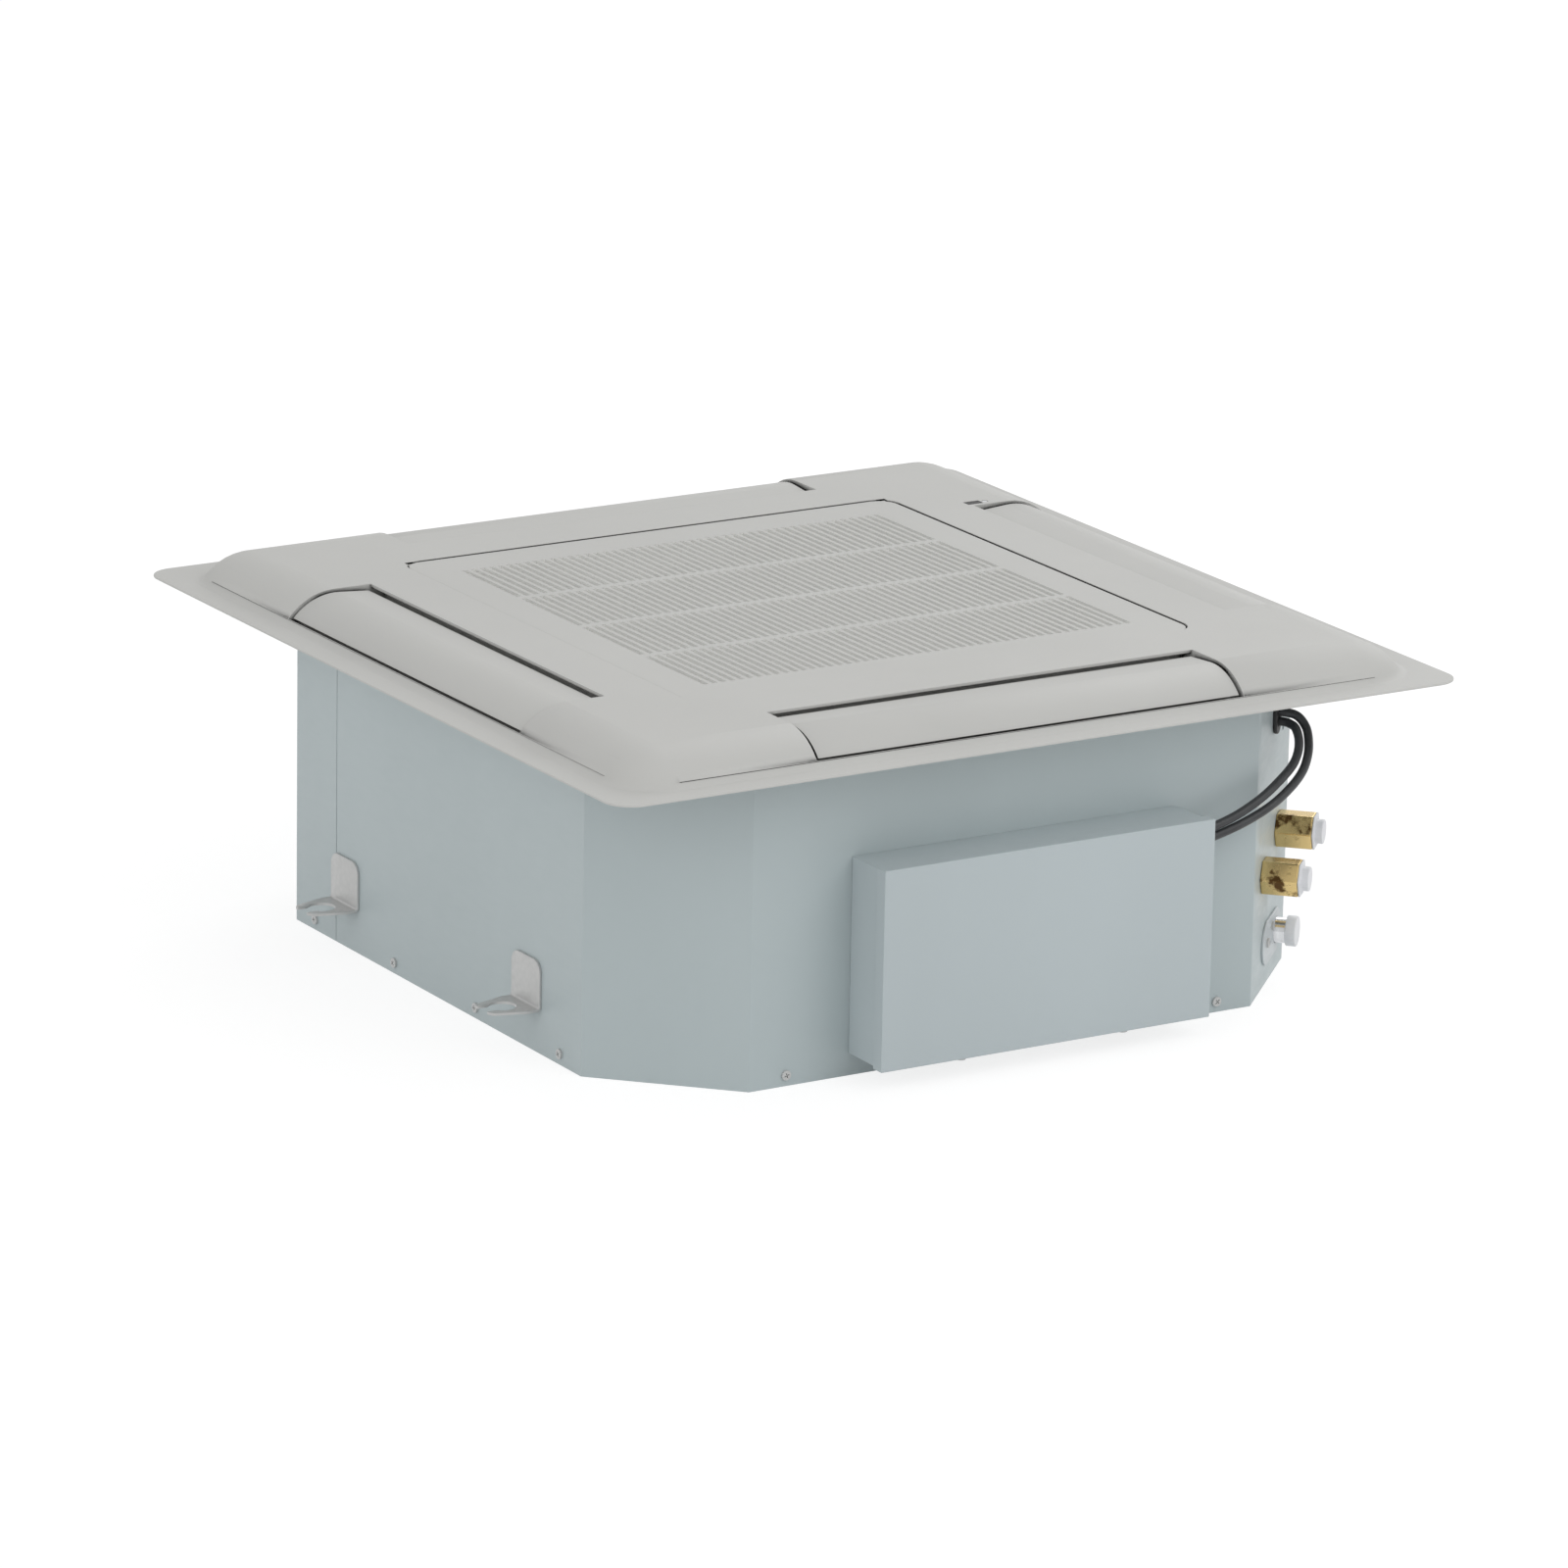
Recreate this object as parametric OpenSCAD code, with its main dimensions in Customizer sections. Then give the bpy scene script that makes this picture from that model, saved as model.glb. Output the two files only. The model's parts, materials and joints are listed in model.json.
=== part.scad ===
// Four-way cassette fan coil unit, standing on the back of its casing with the room panel up.
// The origin is the middle of the back plate's outer face. The electrical box is on the -Y side.

/* [Fits] */
// Gap between fixed pieces that sit in one another
fit_gap = 0.3; // [0.2:0.05:0.4]
// Radial clearance of pins and shafts that turn
run_gap = 0.05; // [0.02:0.01:0.08]

/* [Casing] */
// Width of the casing over its flat sides
case_w = 575; // [570:1:580]
// Length cut off each side at the chamfered corners
corner_cut = 83; // [80:1:86]
// Height from the back of the casing to the ceiling line
case_h = 231; // [228:1:236]
// Thickness of the steel sheet
sheet = 1; // [0.8:0.1:1.2]
// Distance of each shell seam from the middle of its side
seam_at = 145; // [135:1:150]
// Gap in a seam
seam_gap = 0.6; // [0.4:0.1:1]
// Width of the strip behind a seam
seam_lap = 16; // [12:1:20]
// Height of the back plate's turned-up edge
back_lip = 18; // [16:1:22]
// Radius of the stiffening ring pressed into the back plate
ring_r = 100; // [96:1:110]
// Width of the pressed ring
ring_w = 14; // [10:1:16]
// Depth of the pressed ring
ring_h = 3; // [2:0.5:4]

/* [Casing screws] */
// Pitch of the screws along a side
screw_pitch = 117; // [112:1:120]
// Height of the screws above the back
screw_z = 8; // [7:0.5:9]
// Radius of a screw head
screw_head_r = 3.5; // [3:0.1:4]
// Height of a screw head
screw_head_h = 2; // [1.5:0.1:2.5]
// Radius of a screw shank
screw_r = 1.8; // [1.5:0.1:2]
// Length of a screw shank
screw_len = 6; // [5:0.5:7]

/* [Hangers] */
// Distance between the two hangers of a side
hanger_pitch = 260; // [250:1:264]
// Width of a hanger's plate
hanger_w = 39; // [36:1:42]
// Height of the bent-out fork above the back
hanger_z = 30.5; // [29:0.5:34]
// Height of a hanger's plate
hanger_h = 36; // [32:1:40]
// Thickness of a hanger
hanger_t = 2; // [1.5:0.5:2.5]
// How far the fork reaches out from the casing
fork_reach = 35.5; // [33:0.5:38]
// Width across the fork's tips
fork_tip_w = 22; // [20:1:24]
// Distance of the rod hole from the casing
rod_out = 20; // [19:0.5:21]
// Radius of the rod hole
rod_r = 10; // [9:0.5:10.5]
// Width of the fork's slot
rod_slot_w = 13; // [12:0.5:13.5]
// Corner radius of a hanger's plate
hanger_corner_r = 9; // [6:0.5:12]

/* [Electrical box] */
// Distance of the box's left end from the middle of the casing
box_left = 126; // [120:1:130]
// Width of the box
box_w = 263; // [256:1:266]
// Height of the box's lower edge above the back
box_z = 16; // [14:1:18]
// Height of the box
box_h = 140; // [136:1:144]
// Depth of the box with its cover
box_d = 45; // [42:1:50]
// Radius of the rounded upright corner
box_corner_r = 8; // [6:0.5:10]
// How far the cover stands past the box's right end
cover_past = 2.5; // [2:0.1:3]
// Depth of the cover's turned-back edges
cover_lip = 11; // [9:0.5:13]
// Radius of the cable entry in the bottom of the box
entry_r = 10; // [9:0.5:11]
// Distance of the cable entry from the box's right end
entry_in = 60; // [55:1:80]
// Distance of the cable entry from the casing
entry_out = 18; // [16:1:20]
// Radius of the wiring hole into the casing
wiring_r = 9; // [8:0.5:10]
// Distance of the wiring hole from the box's left end
wiring_in = 215; // [205:1:220]
// Height of the wiring hole above the box's lower edge
wiring_up = 60; // [50:1:70]
// Width of the terminal block
block_w = 90; // [80:1:96]
// Height of the terminal block
block_h = 24; // [20:1:28]
// Depth of the terminal block
block_d = 16; // [14:1:20]
// Number of ways on the terminal block
block_ways = 8; // [6:1:9]
// Thickness of the walls between the ways
block_wall = 1.6; // [1.2:0.2:2]
// Width of the control board
board_w = 130; // [110:1:140]
// Height of the control board
board_h = 76; // [70:1:80]
// Thickness of the control board
board_t = 1.6; // [1.2:0.2:2]
// Height of the board's posts
post_h = 8; // [6:1:10]
// Radius of the board's posts
post_r = 3; // [2.5:0.5:4]
// Margin between the board's edge and its posts
post_in = 6; // [5:0.5:8]
// Side of the transformer
trafo_w = 30; // [26:1:32]
// Depth of the transformer
trafo_d = 22; // [18:1:24]
// Length of the board's connector
connector_w = 16; // [12:1:20]
// Depth of the board's connector
connector_d = 14; // [13:1:16]
// Height of the board's connector
connector_h = 20; // [18:1:22]
// Radius of the capacitor
capacitor_r = 8; // [6:0.5:9]
// Length of the capacitor
capacitor_h = 20; // [16:1:24]
// Side of a relay
relay_w = 15; // [12:1:16]
// Depth of a relay
relay_d = 13; // [11:1:16]

/* [Leads] */
// Radius of a lead
lead_r = 3.2; // [2.8:0.1:3.3]
// Distance between the two leads where they pass a wall
lead_pitch = 7; // [6.8:0.1:7.4]
// Distance of the leads' grommet from the ceiling line
grommet_drop = 36; // [35:0.5:37]
// Radius of the grommet's outer bead
grommet_r = 9; // [8:0.5:10]
// Radius of the grommet's neck
grommet_neck_r = 6; // [5.5:0.5:6.5]
// Thickness of each bead of the grommet
grommet_bead = 3; // [2:0.5:3.5]

/* [Pipe connections] */
// Distance of each water connection from the middle of the corner
pipe_off = 24.7; // [23:0.1:26]
// Height of the lower connection above the back
pipe_low_z = 86; // [82:1:90]
// Height of the upper connection above the back
pipe_high_z = 106.5; // [102:0.5:110]
// Width of the brass hexagons across their flats
hex_af = 24; // [22:1:26]
// Length of the brass hexagons
hex_len = 26.5; // [24:0.5:29]
// Radius of the thread in the brass ends
thread_r = 9.3; // [8.5:0.1:9.6]
// Depth of the thread in the brass ends
thread_depth = 16; // [14:1:18]
// Radius of the brass neck in the casing wall
neck_r = 10.6; // [10:0.1:11]
// Length of the brass neck
neck_len = 9; // [8:0.5:10]
// Radius of the copper pipes
pipe_r = 8; // [7:0.1:8.4]
// Thickness of the plastic plugs' flange
plug_flange = 1.4; // [1:0.1:2]
// Radius of the plastic plugs' knob
plug_r = 8.7; // [8:0.1:9.5]
// Length of the plastic plugs' knob
plug_knob = 5.5; // [4:0.5:7]
// Depth of the plugs' shank in the brass
plug_depth = 8; // [6:1:10]

/* [Drain] */
// Radius of the small hole high on the pipe corner
peep_r = 3; // [2.5:0.1:3.5]
// Distance of that hole from the middle of the corner
peep_off = 33; // [31:0.5:35]
// Height of that hole above the back
peep_z = 179; // [176:1:182]
// Distance of the drain from the middle of the corner
drain_off = 25; // [23:0.5:27]
// Height of the drain above the back
drain_z = 31.5; // [30:0.5:34]
// Outer radius of the drain spigot
drain_r = 9.2; // [8.5:0.1:9.6]
// Wall of the drain spigot
drain_wall = 1.5; // [1.2:0.1:2]
// How far the spigot stands out of the casing
drain_out = 15; // [13:1:18]
// Radius of the drain's cover plate ends
drain_plate_r = 16; // [14:0.5:17]
// Offset of the far end of the drain's cover plate
drain_plate_off = 33; // [28:1:36]
// Thickness of the drain's cover plate
drain_plate_t = 1.5; // [1:0.1:2]
// Radius of the drain cap
drain_cap_r = 10.9; // [10.6:0.1:11.5]
// Length of the drain cap
drain_cap_len = 7.5; // [6:0.5:9]

/* [Lining and drip tray] */
// Thickness of the foam lining
liner_t = 8; // [6:1:9]
// Radius of the hole in the lining round the motor
liner_hole_r = 84; // [82:1:86]
// Height of the drip tray
tray_h = 51; // [48:1:54]
// Thickness of the panel seal on the tray
seal_t = 2; // [1.5:0.5:2.5]
// Depth of the trough that the coil stands in
trough_h = 22; // [18:1:24]
// Radius of the air inlet through the tray
inlet_r = 158; // [156:1:160]
// Half length of the pump's pocket across the corner
pocket_half = 36; // [34:1:38]
// How far the pump's pocket reaches from the casing's middle
pocket_out = 338; // [334:1:340]
// Where the pump's pocket starts from the casing's middle
pocket_in = 258; // [250:1:262]

/* [Coil] */
// Half width of the space inside the coil
coil_half = 172; // [170:1:174]
// Thickness of the coil
coil_t = 40; // [36:1:42]
// Inner radius of the coil's bends
coil_bend_r = 40; // [36:1:44]
// Distance of the coil's two ends from the casing's middle
coil_end = 150; // [145:1:152]
// Thickness of the coil's end plates
end_plate = 1.5; // [1:0.5:2]
// Radius of the copper tubes
tube_r = 4; // [3.5:0.5:4.5]
// Number of tube rows over the coil's height
tube_rows = 8; // [6:2:8]
// Height of the first tube row above the lining
tube_first = 22; // [20:1:26]
// Distance of the last tube row from the coil's other end
tube_last = 29; // [24:1:32]
// Radius of the copper headers
header_r = 9; // [8:0.5:9.5]
// Distance of the headers' axis from the coil's end
header_off = 15; // [14:0.5:17]
// Gap between the headers' ends and the trough's roof
header_gap = 32.7; // [31.7:0.5:36.7]

/* [Condensate pump] */
// Distance of the pump from the casing's middle
pump_out = 300; // [298:1:301]
// Distance of the pump from the middle of the corner
pump_off = 8; // [7:0.5:9]
// Radius of the pump
pump_r = 20; // [18:1:22]
// Gap between the pump and the trough's roof
pump_gap = 4; // [2:0.5:6]
// Length of the pump
pump_h = 66; // [62:1:67]
// Width of the pump's arm
pump_arm_w = 18; // [14:1:20]
// Thickness of the pump's arm
pump_arm_t = 3; // [2:0.5:4]
// Radius of the pump's hose
hose_r = 6; // [5:0.5:6.5]
// Wall of the pump's hose
hose_wall = 1.5; // [1:0.1:2]
// Radius of the float
float_r = 8; // [7:0.5:9]
// Height of the float
float_h = 12; // [10:1:13]
// Travel of the float
float_travel = 7; // [5:0.5:7.5]
// Radius of the float's guide
guide_r = 2.5; // [2:0.1:3]
// Distance of the float from the pump's axis
float_off = 32; // [31:0.5:33]

/* [Fan] */
// Outer radius of the impeller
fan_r = 150; // [146:1:152]
// Height of the impeller's back disc above the back plate
fan_z = 62; // [60:1:66]
// Thickness of the impeller's discs and blades
fan_t = 2.5; // [2:0.1:3]
// Radius of the impeller's eye
eye_r = 106; // [104:1:108]
// Rise of the impeller's shroud from its rim to the eye
shroud_rise = 24; // [20:1:30]
// Number of blades
blades = 7; // [6:1:9]
// How far a blade leans back from the eye to the rim, in degrees
blade_lean = 48; // [40:2:56]
// Thickness of a blade round the circle
blade_t = 4; // [3:0.5:5]
// Radius where the blades start
blade_start = 70; // [66:1:74]
// Radius of the impeller's hub
hub_r = 20; // [18:1:24]
// Height of the impeller's hub
hub_h = 22; // [20:1:26]
// Radius of the motor's shaft
shaft_r = 4; // [3.5:0.1:5]
// Radius of the motor
motor_r = 55; // [50:1:58]
// Height of the motor
motor_h = 42; // [38:1:44]
// Height of the motor's back above the back plate
motor_gap = 9; // [8:0.5:11]
// Radius of the circle of the motor's mounts
mount_ring_r = 68; // [66:1:70]
// Radius of a rubber mount
mount_r = 9; // [8:0.5:10]
// Height of a rubber mount
mount_h = 16; // [14:0.5:18]
// Radius of a motor stud
stud_r = 3; // [2.5:0.5:3.5]
// Thickness of the motor's ears
ear_t = 3; // [2.5:0.5:4]
// Height of a nut
nut_h = 5; // [4:0.5:6]
// Inner radius of the inlet ring's throat
throat_r = 100; // [98:1:102]
// Radius of the inlet ring's curved mouth
mouth_r = 50; // [46:1:52]
// Wall of the inlet ring
mouth_t = 2.5; // [2:0.1:3]
// How far the throat reaches into the impeller's eye
throat_in = 5; // [3:0.5:7]
// Length of the inlet ring's straight throat
throat_len = 32; // [28:1:36]
// Width of the inlet ring's flange
flange_w = 12; // [10:0.5:12.5]

/* [Panel] */
// Side of the square panel
panel_w = 680; // [674:1:690]
// Corner radius of the panel's rim
rim_corner_r = 20; // [15:1:25]
// Thickness of the panel's rim
rim_t = 1.4; // [1.2:0.1:1.8]
// Height of the raised face above the ceiling line
panel_h = 23; // [22.5:0.1:23.5]
// Distance of the raised face's turning-down line from the mouths' inner edge
edge_past = 30; // [29:0.5:31]
// Radius of the turned-down edge
edge_r = 46; // [45.5:0.5:46.5]
// Radius of the hollow where the edge meets the rim
foot_r = 10; // [8:0.5:10]
// Wall of the panel's moulding
wall = 2.5; // [2.2:0.1:2.8]
// Half width of the opening that the grille lies in
well_half = 205; // [204:0.5:207]
// Corner radius of that opening
well_corner_r = 16; // [12:0.5:18]
// Half width of the air way under the grille
inlet_half = 198; // [196:0.5:199]
// Height of the ledge under the grille
ledge_z = 12.5; // [12:0.5:13]
// Depth of the recess in the panel's back that takes the casing's edge and the seal
seat_h = 0.5; // [0.4:0.1:0.6]
// Gap between that recess and the casing
seat_gap = 2; // [1:0.5:3]
// Side of the fixing lugs in the corners of the air way
lug_w = 26; // [24:1:28]
// Thickness of the fixing lugs
lug_t = 3; // [2.5:0.5:4]

/* [Panel fixing] */
// Width of the steel straps that hold tray and panel
strap_w = 24; // [20:1:26]
// Thickness of the straps
strap_t = 2; // [1.5:0.1:2]
// Height of a strap's turned-down end
strap_drop = 20; // [16:1:24]
// Radius of a panel screw's shank
fix_r = 2.5; // [2:0.1:3]
// Radius of a panel screw's head
fix_head_r = 5; // [4.5:0.5:6]
// Height of a panel screw's head
fix_head_h = 3; // [2.5:0.5:3.5]
// Radius of the weld nuts under the straps
weld_nut_r = 5; // [4.5:0.5:6]
// Height of the weld nuts
weld_nut_h = 4; // [3:0.5:5]

/* [Air outlets] */
// Distance of the outlet ducts' inner wall from the middle
duct_in = 238; // [237:0.5:239]
// Width of the outlet ducts
duct_w = 38; // [36:1:40]
// Distance of the mouths' inner edge from the middle
mouth_in = 250; // [249.5:0.5:250.5]
// Width of the mouths
mouth_w = 66; // [65.5:0.5:66]
// Length of the two outlets on the box side and opposite
long_outlet = 344; // [343:1:346]
// Sideways shift of those two outlets
long_shift = -1; // [-2:0.5:0]
// Length of the other two outlets
short_outlet = 330; // [326:1:332]
// Sideways shift of the other two outlets
short_shift = -8; // [-9:0.5:-7]

/* [Flaps] */
// Gap between a flap's inner edge and the panel
flap_gap = 3; // [2.6:0.1:3.4]
// Gap at each end of a flap
flap_end_gap = 2.5; // [2:0.1:3]
// Depth of the flaps' surface below the panel's
flap_sink = 2; // [1.6:0.1:2.4]
// Fall of a flap's surface towards its inner edge, in degrees
flap_fall = 4; // [0:0.5:5]
// Wall of a flap
flap_t = 2.2; // [2:0.1:2.6]
// Height of a flap's outer lip above the ceiling line when shut
flap_lip_z = 5.7; // [5.5:0.1:6.2]
// Distance of the flaps' pivots from the middle
pivot_at = 272; // [271:0.5:273]
// Height of the flaps' pivots above the ceiling line
pivot_z = 7; // [6.8:0.1:7.4]
// Radius of the flaps' pins
pin_r = 3; // [2.6:0.1:3]
// Radius of the bosses round the flaps' pins
boss_r = 5; // [4.5:0.1:5.2]
// Thickness of a flap's cheeks and webs
cheek_t = 2; // [1.5:0.1:2.5]
// Length of a pin in a flap motor
pin_in_motor = 5; // [4:0.5:6]
// Tilt of the flaps as they stand, in degrees
flap_tilt = 0.5; // [0:0.5:1.5]
// Radius of a flap motor
step_r = 10; // [9:0.1:10]
// Length of a flap motor
step_len = 15; // [12:0.5:17]
// Width of a flap motor's connector housing
step_plug_w = 12; // [10:0.5:14]
// Length of a flap motor's connector housing
step_plug_len = 5; // [4:0.5:6]

/* [Return grille] */
// Gap round the grille
grille_gap = 1.2; // [1:0.1:1.4]
// Depth of the grille's face below the panel's
grille_sink = 0.8; // [0.6:0.1:1]
// Thickness of the grille's plate
grille_t = 3; // [2.8:0.1:3.2]
// Thickness of the louvred field
field_t = 6; // [5:0.5:6.2]
// Margin of the thick field round the slots
field_margin = 4; // [3:0.5:6]
// Number of slots in a band
slots = 49; // [45:2:51]
// Pitch of the slots
slot_pitch = 7.17; // [7:0.01:7.2]
// Width of a slot
slot_w = 3.8; // [3:0.1:4.2]
// Length of a slot
slot_len = 80; // [76:1:81]
// Width of the ribs between the bands
band_rib = 6; // [5:0.5:7]
// Number of bands
bands = 4; // [3:1:4]
// Gap between the grille's turned-down edge and the ledge
edge_clear = 0.7; // [0.6:0.1:0.9]
// Radius of the grille's hinge pins
hinge_r = 1.3; // [1:0.1:1.3]
// Distance of the hinge line from the grille's rear edge
hinge_in = 2; // [1.8:0.1:2.2]
// Length of the hinge lugs in the panel
hinge_lug = 7; // [6:0.5:8]

/* [Filter] */
// Gap between the filter and the air way
filter_gap = 5; // [4:0.5:7]
// Width of the filter's frame
filter_rim = 8; // [6:0.5:10]
// Thickness of the filter's frame
filter_t = 5; // [4:0.5:5.5]
// Number of cells along each side of the filter's grid
filter_cells = 5; // [4:1:6]
// Width of the filter's grid bars
filter_bar = 3; // [2:0.5:4]
// Thickness of the filter's mesh
mesh_t = 0.8; // [0.6:0.1:1]
// Width of the hooks on the grille that hold the filter
hook_w = 16; // [12:1:20]
// Distance of the outer hooks from the middle of a side
hook_at = 120; // [100:5:150]
// Thickness of the hooks
hook_t = 2; // [1.5:0.5:2]

/* [Receiver] */
// Distance of the receiver from the middle of the panel
receiver_out = 254; // [252.5:0.5:256]
// Distance of the receiver from its outlet's end
receiver_past = 7; // [6.8:0.1:7.5]
// Length of the receiver's dark window
window_w = 12.4; // [11:0.2:13]
// Width of the receiver's dark window
window_h = 7.6; // [7:0.2:8]
// Radius of the push button
button_r = 2.2; // [2:0.1:2.6]
// Distance of the button from the window's middle
button_off = 10; // [9.5:0.5:11]
// Height and width of the push button's rim
button_rim = 0.9; // [0.8:0.1:1]
// Depth of the receiver's housing
receiver_d = 8; // [7:0.5:9]

/* [Hidden] */
$fn = 96;
// overrun of every cut past the face it opens
over = 1;
// half width of the casing
case_half = case_w / 2;
// distance of the chamfered corners from the middle
reach = (case_w - corner_cut) / sqrt(2);
// inset of the lining and the tray from the casing's outside
liner_inset = 2 * sheet + fit_gap;
// screw places along a side, in pitches from its middle
screw_place_shares = [-1.5, -0.5, 0.5, 1.5];
// height of the tray's room side and of its trough's roof
tray_top = case_h - seal_t;
tray_z = tray_top - tray_h;
trough_top = tray_z + trough_h;
// lower end of the coil, on the lining, the pitch of its tube rows and the height of its headers
coil_z = sheet + liner_t;
tube_pitch = (trough_top - coil_z - tube_first - tube_last) / (tube_rows - 1);
header_h = trough_top - header_gap - coil_z - fit_gap;
pump_z = trough_top - pump_gap - pump_h;
// the electrical box's ends and depths from the middle of the casing
box_right = box_w - box_left;
body_d = box_d - sheet;
// inner end of the drain spigot
spigot_start = reach - neck_len - liner_t;
// middle of the raised face's turning-down line, and where the hollow foot starts
side_mid = mouth_in + edge_past;
round_z = panel_h - edge_r;
foot_z = rim_t + foot_r;
foot_u = side_mid + sqrt(pow(edge_r + foot_r, 2) - pow(foot_z - round_z, 2));
foot_share = edge_r / (edge_r + foot_r);
foot_start_u = side_mid + (foot_u - side_mid) * foot_share;
foot_start_z = round_z + (foot_z - round_z) * foot_share;
// the outer edges of the mouths and of the flaps
mouth_out = mouth_in + mouth_w;
flap_in = mouth_in + flap_gap;
flap_r = edge_r - flap_sink;
// where the panel screws stand, from the middle, and the straps' inner end
fix_at = inlet_half - lug_w / 2;
strap_start = fix_at * sqrt(2) - strap_w / 2;
strap_end = reach - sheet - run_gap;
// half width of the slotted field
slot_field = (slots - 1) * slot_pitch + slot_w;
band_step = slot_len + band_rib;
grille_half = well_half - grille_gap;
grille_top = panel_h - grille_sink;
hinge_y = grille_half - hinge_in;
hinge_z = grille_top - grille_t / 2;
turning_r = sqrt(pow(hinge_in, 2) + pow(grille_t / 2, 2)) + fit_gap;
// half width of the filter and height of its upper face above the ceiling line
filter_half = inlet_half - filter_gap;
filter_top = grille_top - field_t - fit_gap;
// the headers' places along the coil's end, and the tube rows' places in its thickness
header_at = coil_end + header_off;
header_y = sqrt(2) * pipe_off + header_at;
inner_row = coil_half + coil_t / 4;
outer_row = coil_half + coil_t * 3 / 4;
// heights of the inlet ring's rounding, its throat's lower edge and the impeller under it
mouth_z = tray_top - mouth_r;
throat_z = mouth_z - throat_len;
fan_h = throat_z + throat_in - fan_z;
rim_gap = fan_h - shroud_rise;
// height of the float at rest
float_z = pump_z + pump_h - float_h - float_travel - over;
// the motor's ears, above the rubber mounts
ear_z = sheet + mount_h;
shaft_top = fan_z + hub_h + nut_h + over;
// height of the grommet and of the two leads in it
grommet_z = case_h - grommet_drop;
inner_z = grommet_z - lead_pitch / 2;
outer_z = grommet_z + lead_pitch / 2;
// the leads run from the board's connector to the bottom of a notch in the drip tray
board_end = block_h + board_w - box_left;
notch_start = reach - liner_inset - strap_w;
lead_end = notch_start / sqrt(2);
// routes of the two leads, as chosen by hand
inner_route = [[board_end, -308, 141], [board_end + 60, -308, 141], [128, -308, 141], [140, -308, 141],
  [157, -308, 144], [176, -308, 150], [196.5, -305, 158], [215.5, -298.5, 166], [231.5, -290, 172.5],
  [242, -281, 178.5], [249, -271.5, 184], [252.5, -262.5, 189], [253, -256, 190.5],
  [250, -250, inner_z], [240, -240, inner_z],
  [lead_end, -lead_end, inner_z]];
outer_route = [[board_end, -308, 134], [board_end + 60, -308, 134], [128, -308, 134], [140, -308, 134],
  [158, -308, 137], [180, -309, 143.5], [202.5, -307, 151.5], [223, -300.5, 160], [238.5, -292.5, 168],
  [249.5, -282.5, 176], [256.5, -272.5, 183.5], [260, -263.5, 190], [257, -257, 196.5],
  [250, -250, outer_z], [240, -240, outer_z],
  [lead_end, -lead_end, outer_z]];
// flat strips in a blade
blade_strips = 5;
// rings of a lead for each stretch of its route
lead_steps = 2;
lead_sides = 10;

// outlines
module octagon(inset) {
  half = case_half - inset;
  cut = corner_cut - inset * (2 - sqrt(2));
  polygon([[-half + cut, -half], [half - cut, -half], [half, -half + cut], [half, half - cut],
    [half - cut, half], [-half + cut, half], [-half, half - cut], [-half, -half + cut]]);
}

module rounded_square(half, r) {
  square([2 * half, 2 * (half - r)], center = true);
  square([2 * (half - r), 2 * half], center = true);
  for (x = [-1, 1], y = [-1, 1]) translate([x * (half - r), y * (half - r)]) circle(r = r);
}

module stadium(length, r) {
  square([length, 2 * r], center = true);
  for (side = [-1, 1]) translate([side * length / 2, 0]) circle(r = r);
}

// turns the X axis to the pipe corner, with Y along the corner's face
module at_pipe_corner(along, z) {
  rotate([0, 0, -45]) translate([0, along, z]) children();
}

// a round bar along X
module bar_x(from, to, r) {
  translate([from, 0, 0]) rotate([0, 90, 0]) cylinder(h = to - from, r = r);
}

// a hexagonal bar along X with flats above and below
module hex_x(from, to, across) {
  translate([from, 0, 0]) rotate([0, 90, 0]) rotate([0, 0, 30])
    cylinder(h = to - from, r = across / sqrt(3), $fn = 6);
}

// places its children at every casing screw, looking out along -Y
module at_screws() {
  for (turn = [0:90:270], place = screw_place_shares)
    rotate([0, 0, turn]) translate([place * screw_pitch, -case_half, screw_z]) rotate([90, 0, 0])
      children();
}

// places its children at the drain plate's two screws, looking out of the corner
module at_drain_screws() {
  at_pipe_corner(drain_off - drain_plate_off, drain_z) translate([reach + drain_plate_t, 0, 0])
    rotate([0, 90, 0]) children();
  at_pipe_corner(drain_off - drain_plate_off / 2, drain_z + drain_plate_r / 2)
    translate([reach + drain_plate_t, 0, 0]) rotate([0, 90, 0]) children();
}

// casing
module screw_holes() {
  at_screws() translate([0, 0, -screw_len]) cylinder(h = screw_len + over, r = screw_r + run_gap);
}

module back_plate() {
  color("#a7b1b4") difference() {
    union() {
      linear_extrude(height = sheet) octagon(sheet + fit_gap);
      linear_extrude(height = back_lip) difference() {
        octagon(sheet + fit_gap);
        octagon(liner_inset);
      }
      cylinder(h = ring_h + sheet, r = ring_r + ring_w / 2);
      for (turn = [30:120:270]) rotate([0, 0, turn]) translate([mount_ring_r, 0, 0])
        cylinder(h = ear_z + ear_t + nut_h + over, r = stud_r);
    }
    screw_holes();
    difference() {
      translate([0, 0, -over]) cylinder(h = ring_h + over, r = ring_r + ring_w / 2 - sheet);
      translate([0, 0, -2 * over]) cylinder(h = ring_h + 3 * over, r = ring_r - ring_w / 2 + sheet);
    }
    translate([0, 0, sheet]) difference() {
      cylinder(h = ring_h + over, r = ring_r - ring_w / 2);
      for (turn = [30:120:270]) rotate([0, 0, turn]) translate([mount_ring_r, 0, -over])
        cylinder(h = ring_h + 3 * over, r = stud_r);
    }
  }
}

// one of the two side shells: the seams lie half a turn apart
module shell() {
  seam = seam_at - seam_gap / 2;
  linear_extrude(height = case_h) difference() {
    intersection() {
      octagon(0);
      polygon([[-case_w, -case_w], [case_w, -case_w], [case_w, -seam - seam_gap], [0, -seam - seam_gap],
        [0, seam], [-case_w, seam]]);
    }
    octagon(sheet);
  }
  translate([-case_half + sheet, seam - seam_lap / 2, back_lip + fit_gap])
    cube([sheet, seam_lap, case_h - back_lip - 2 * fit_gap]);
}

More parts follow.
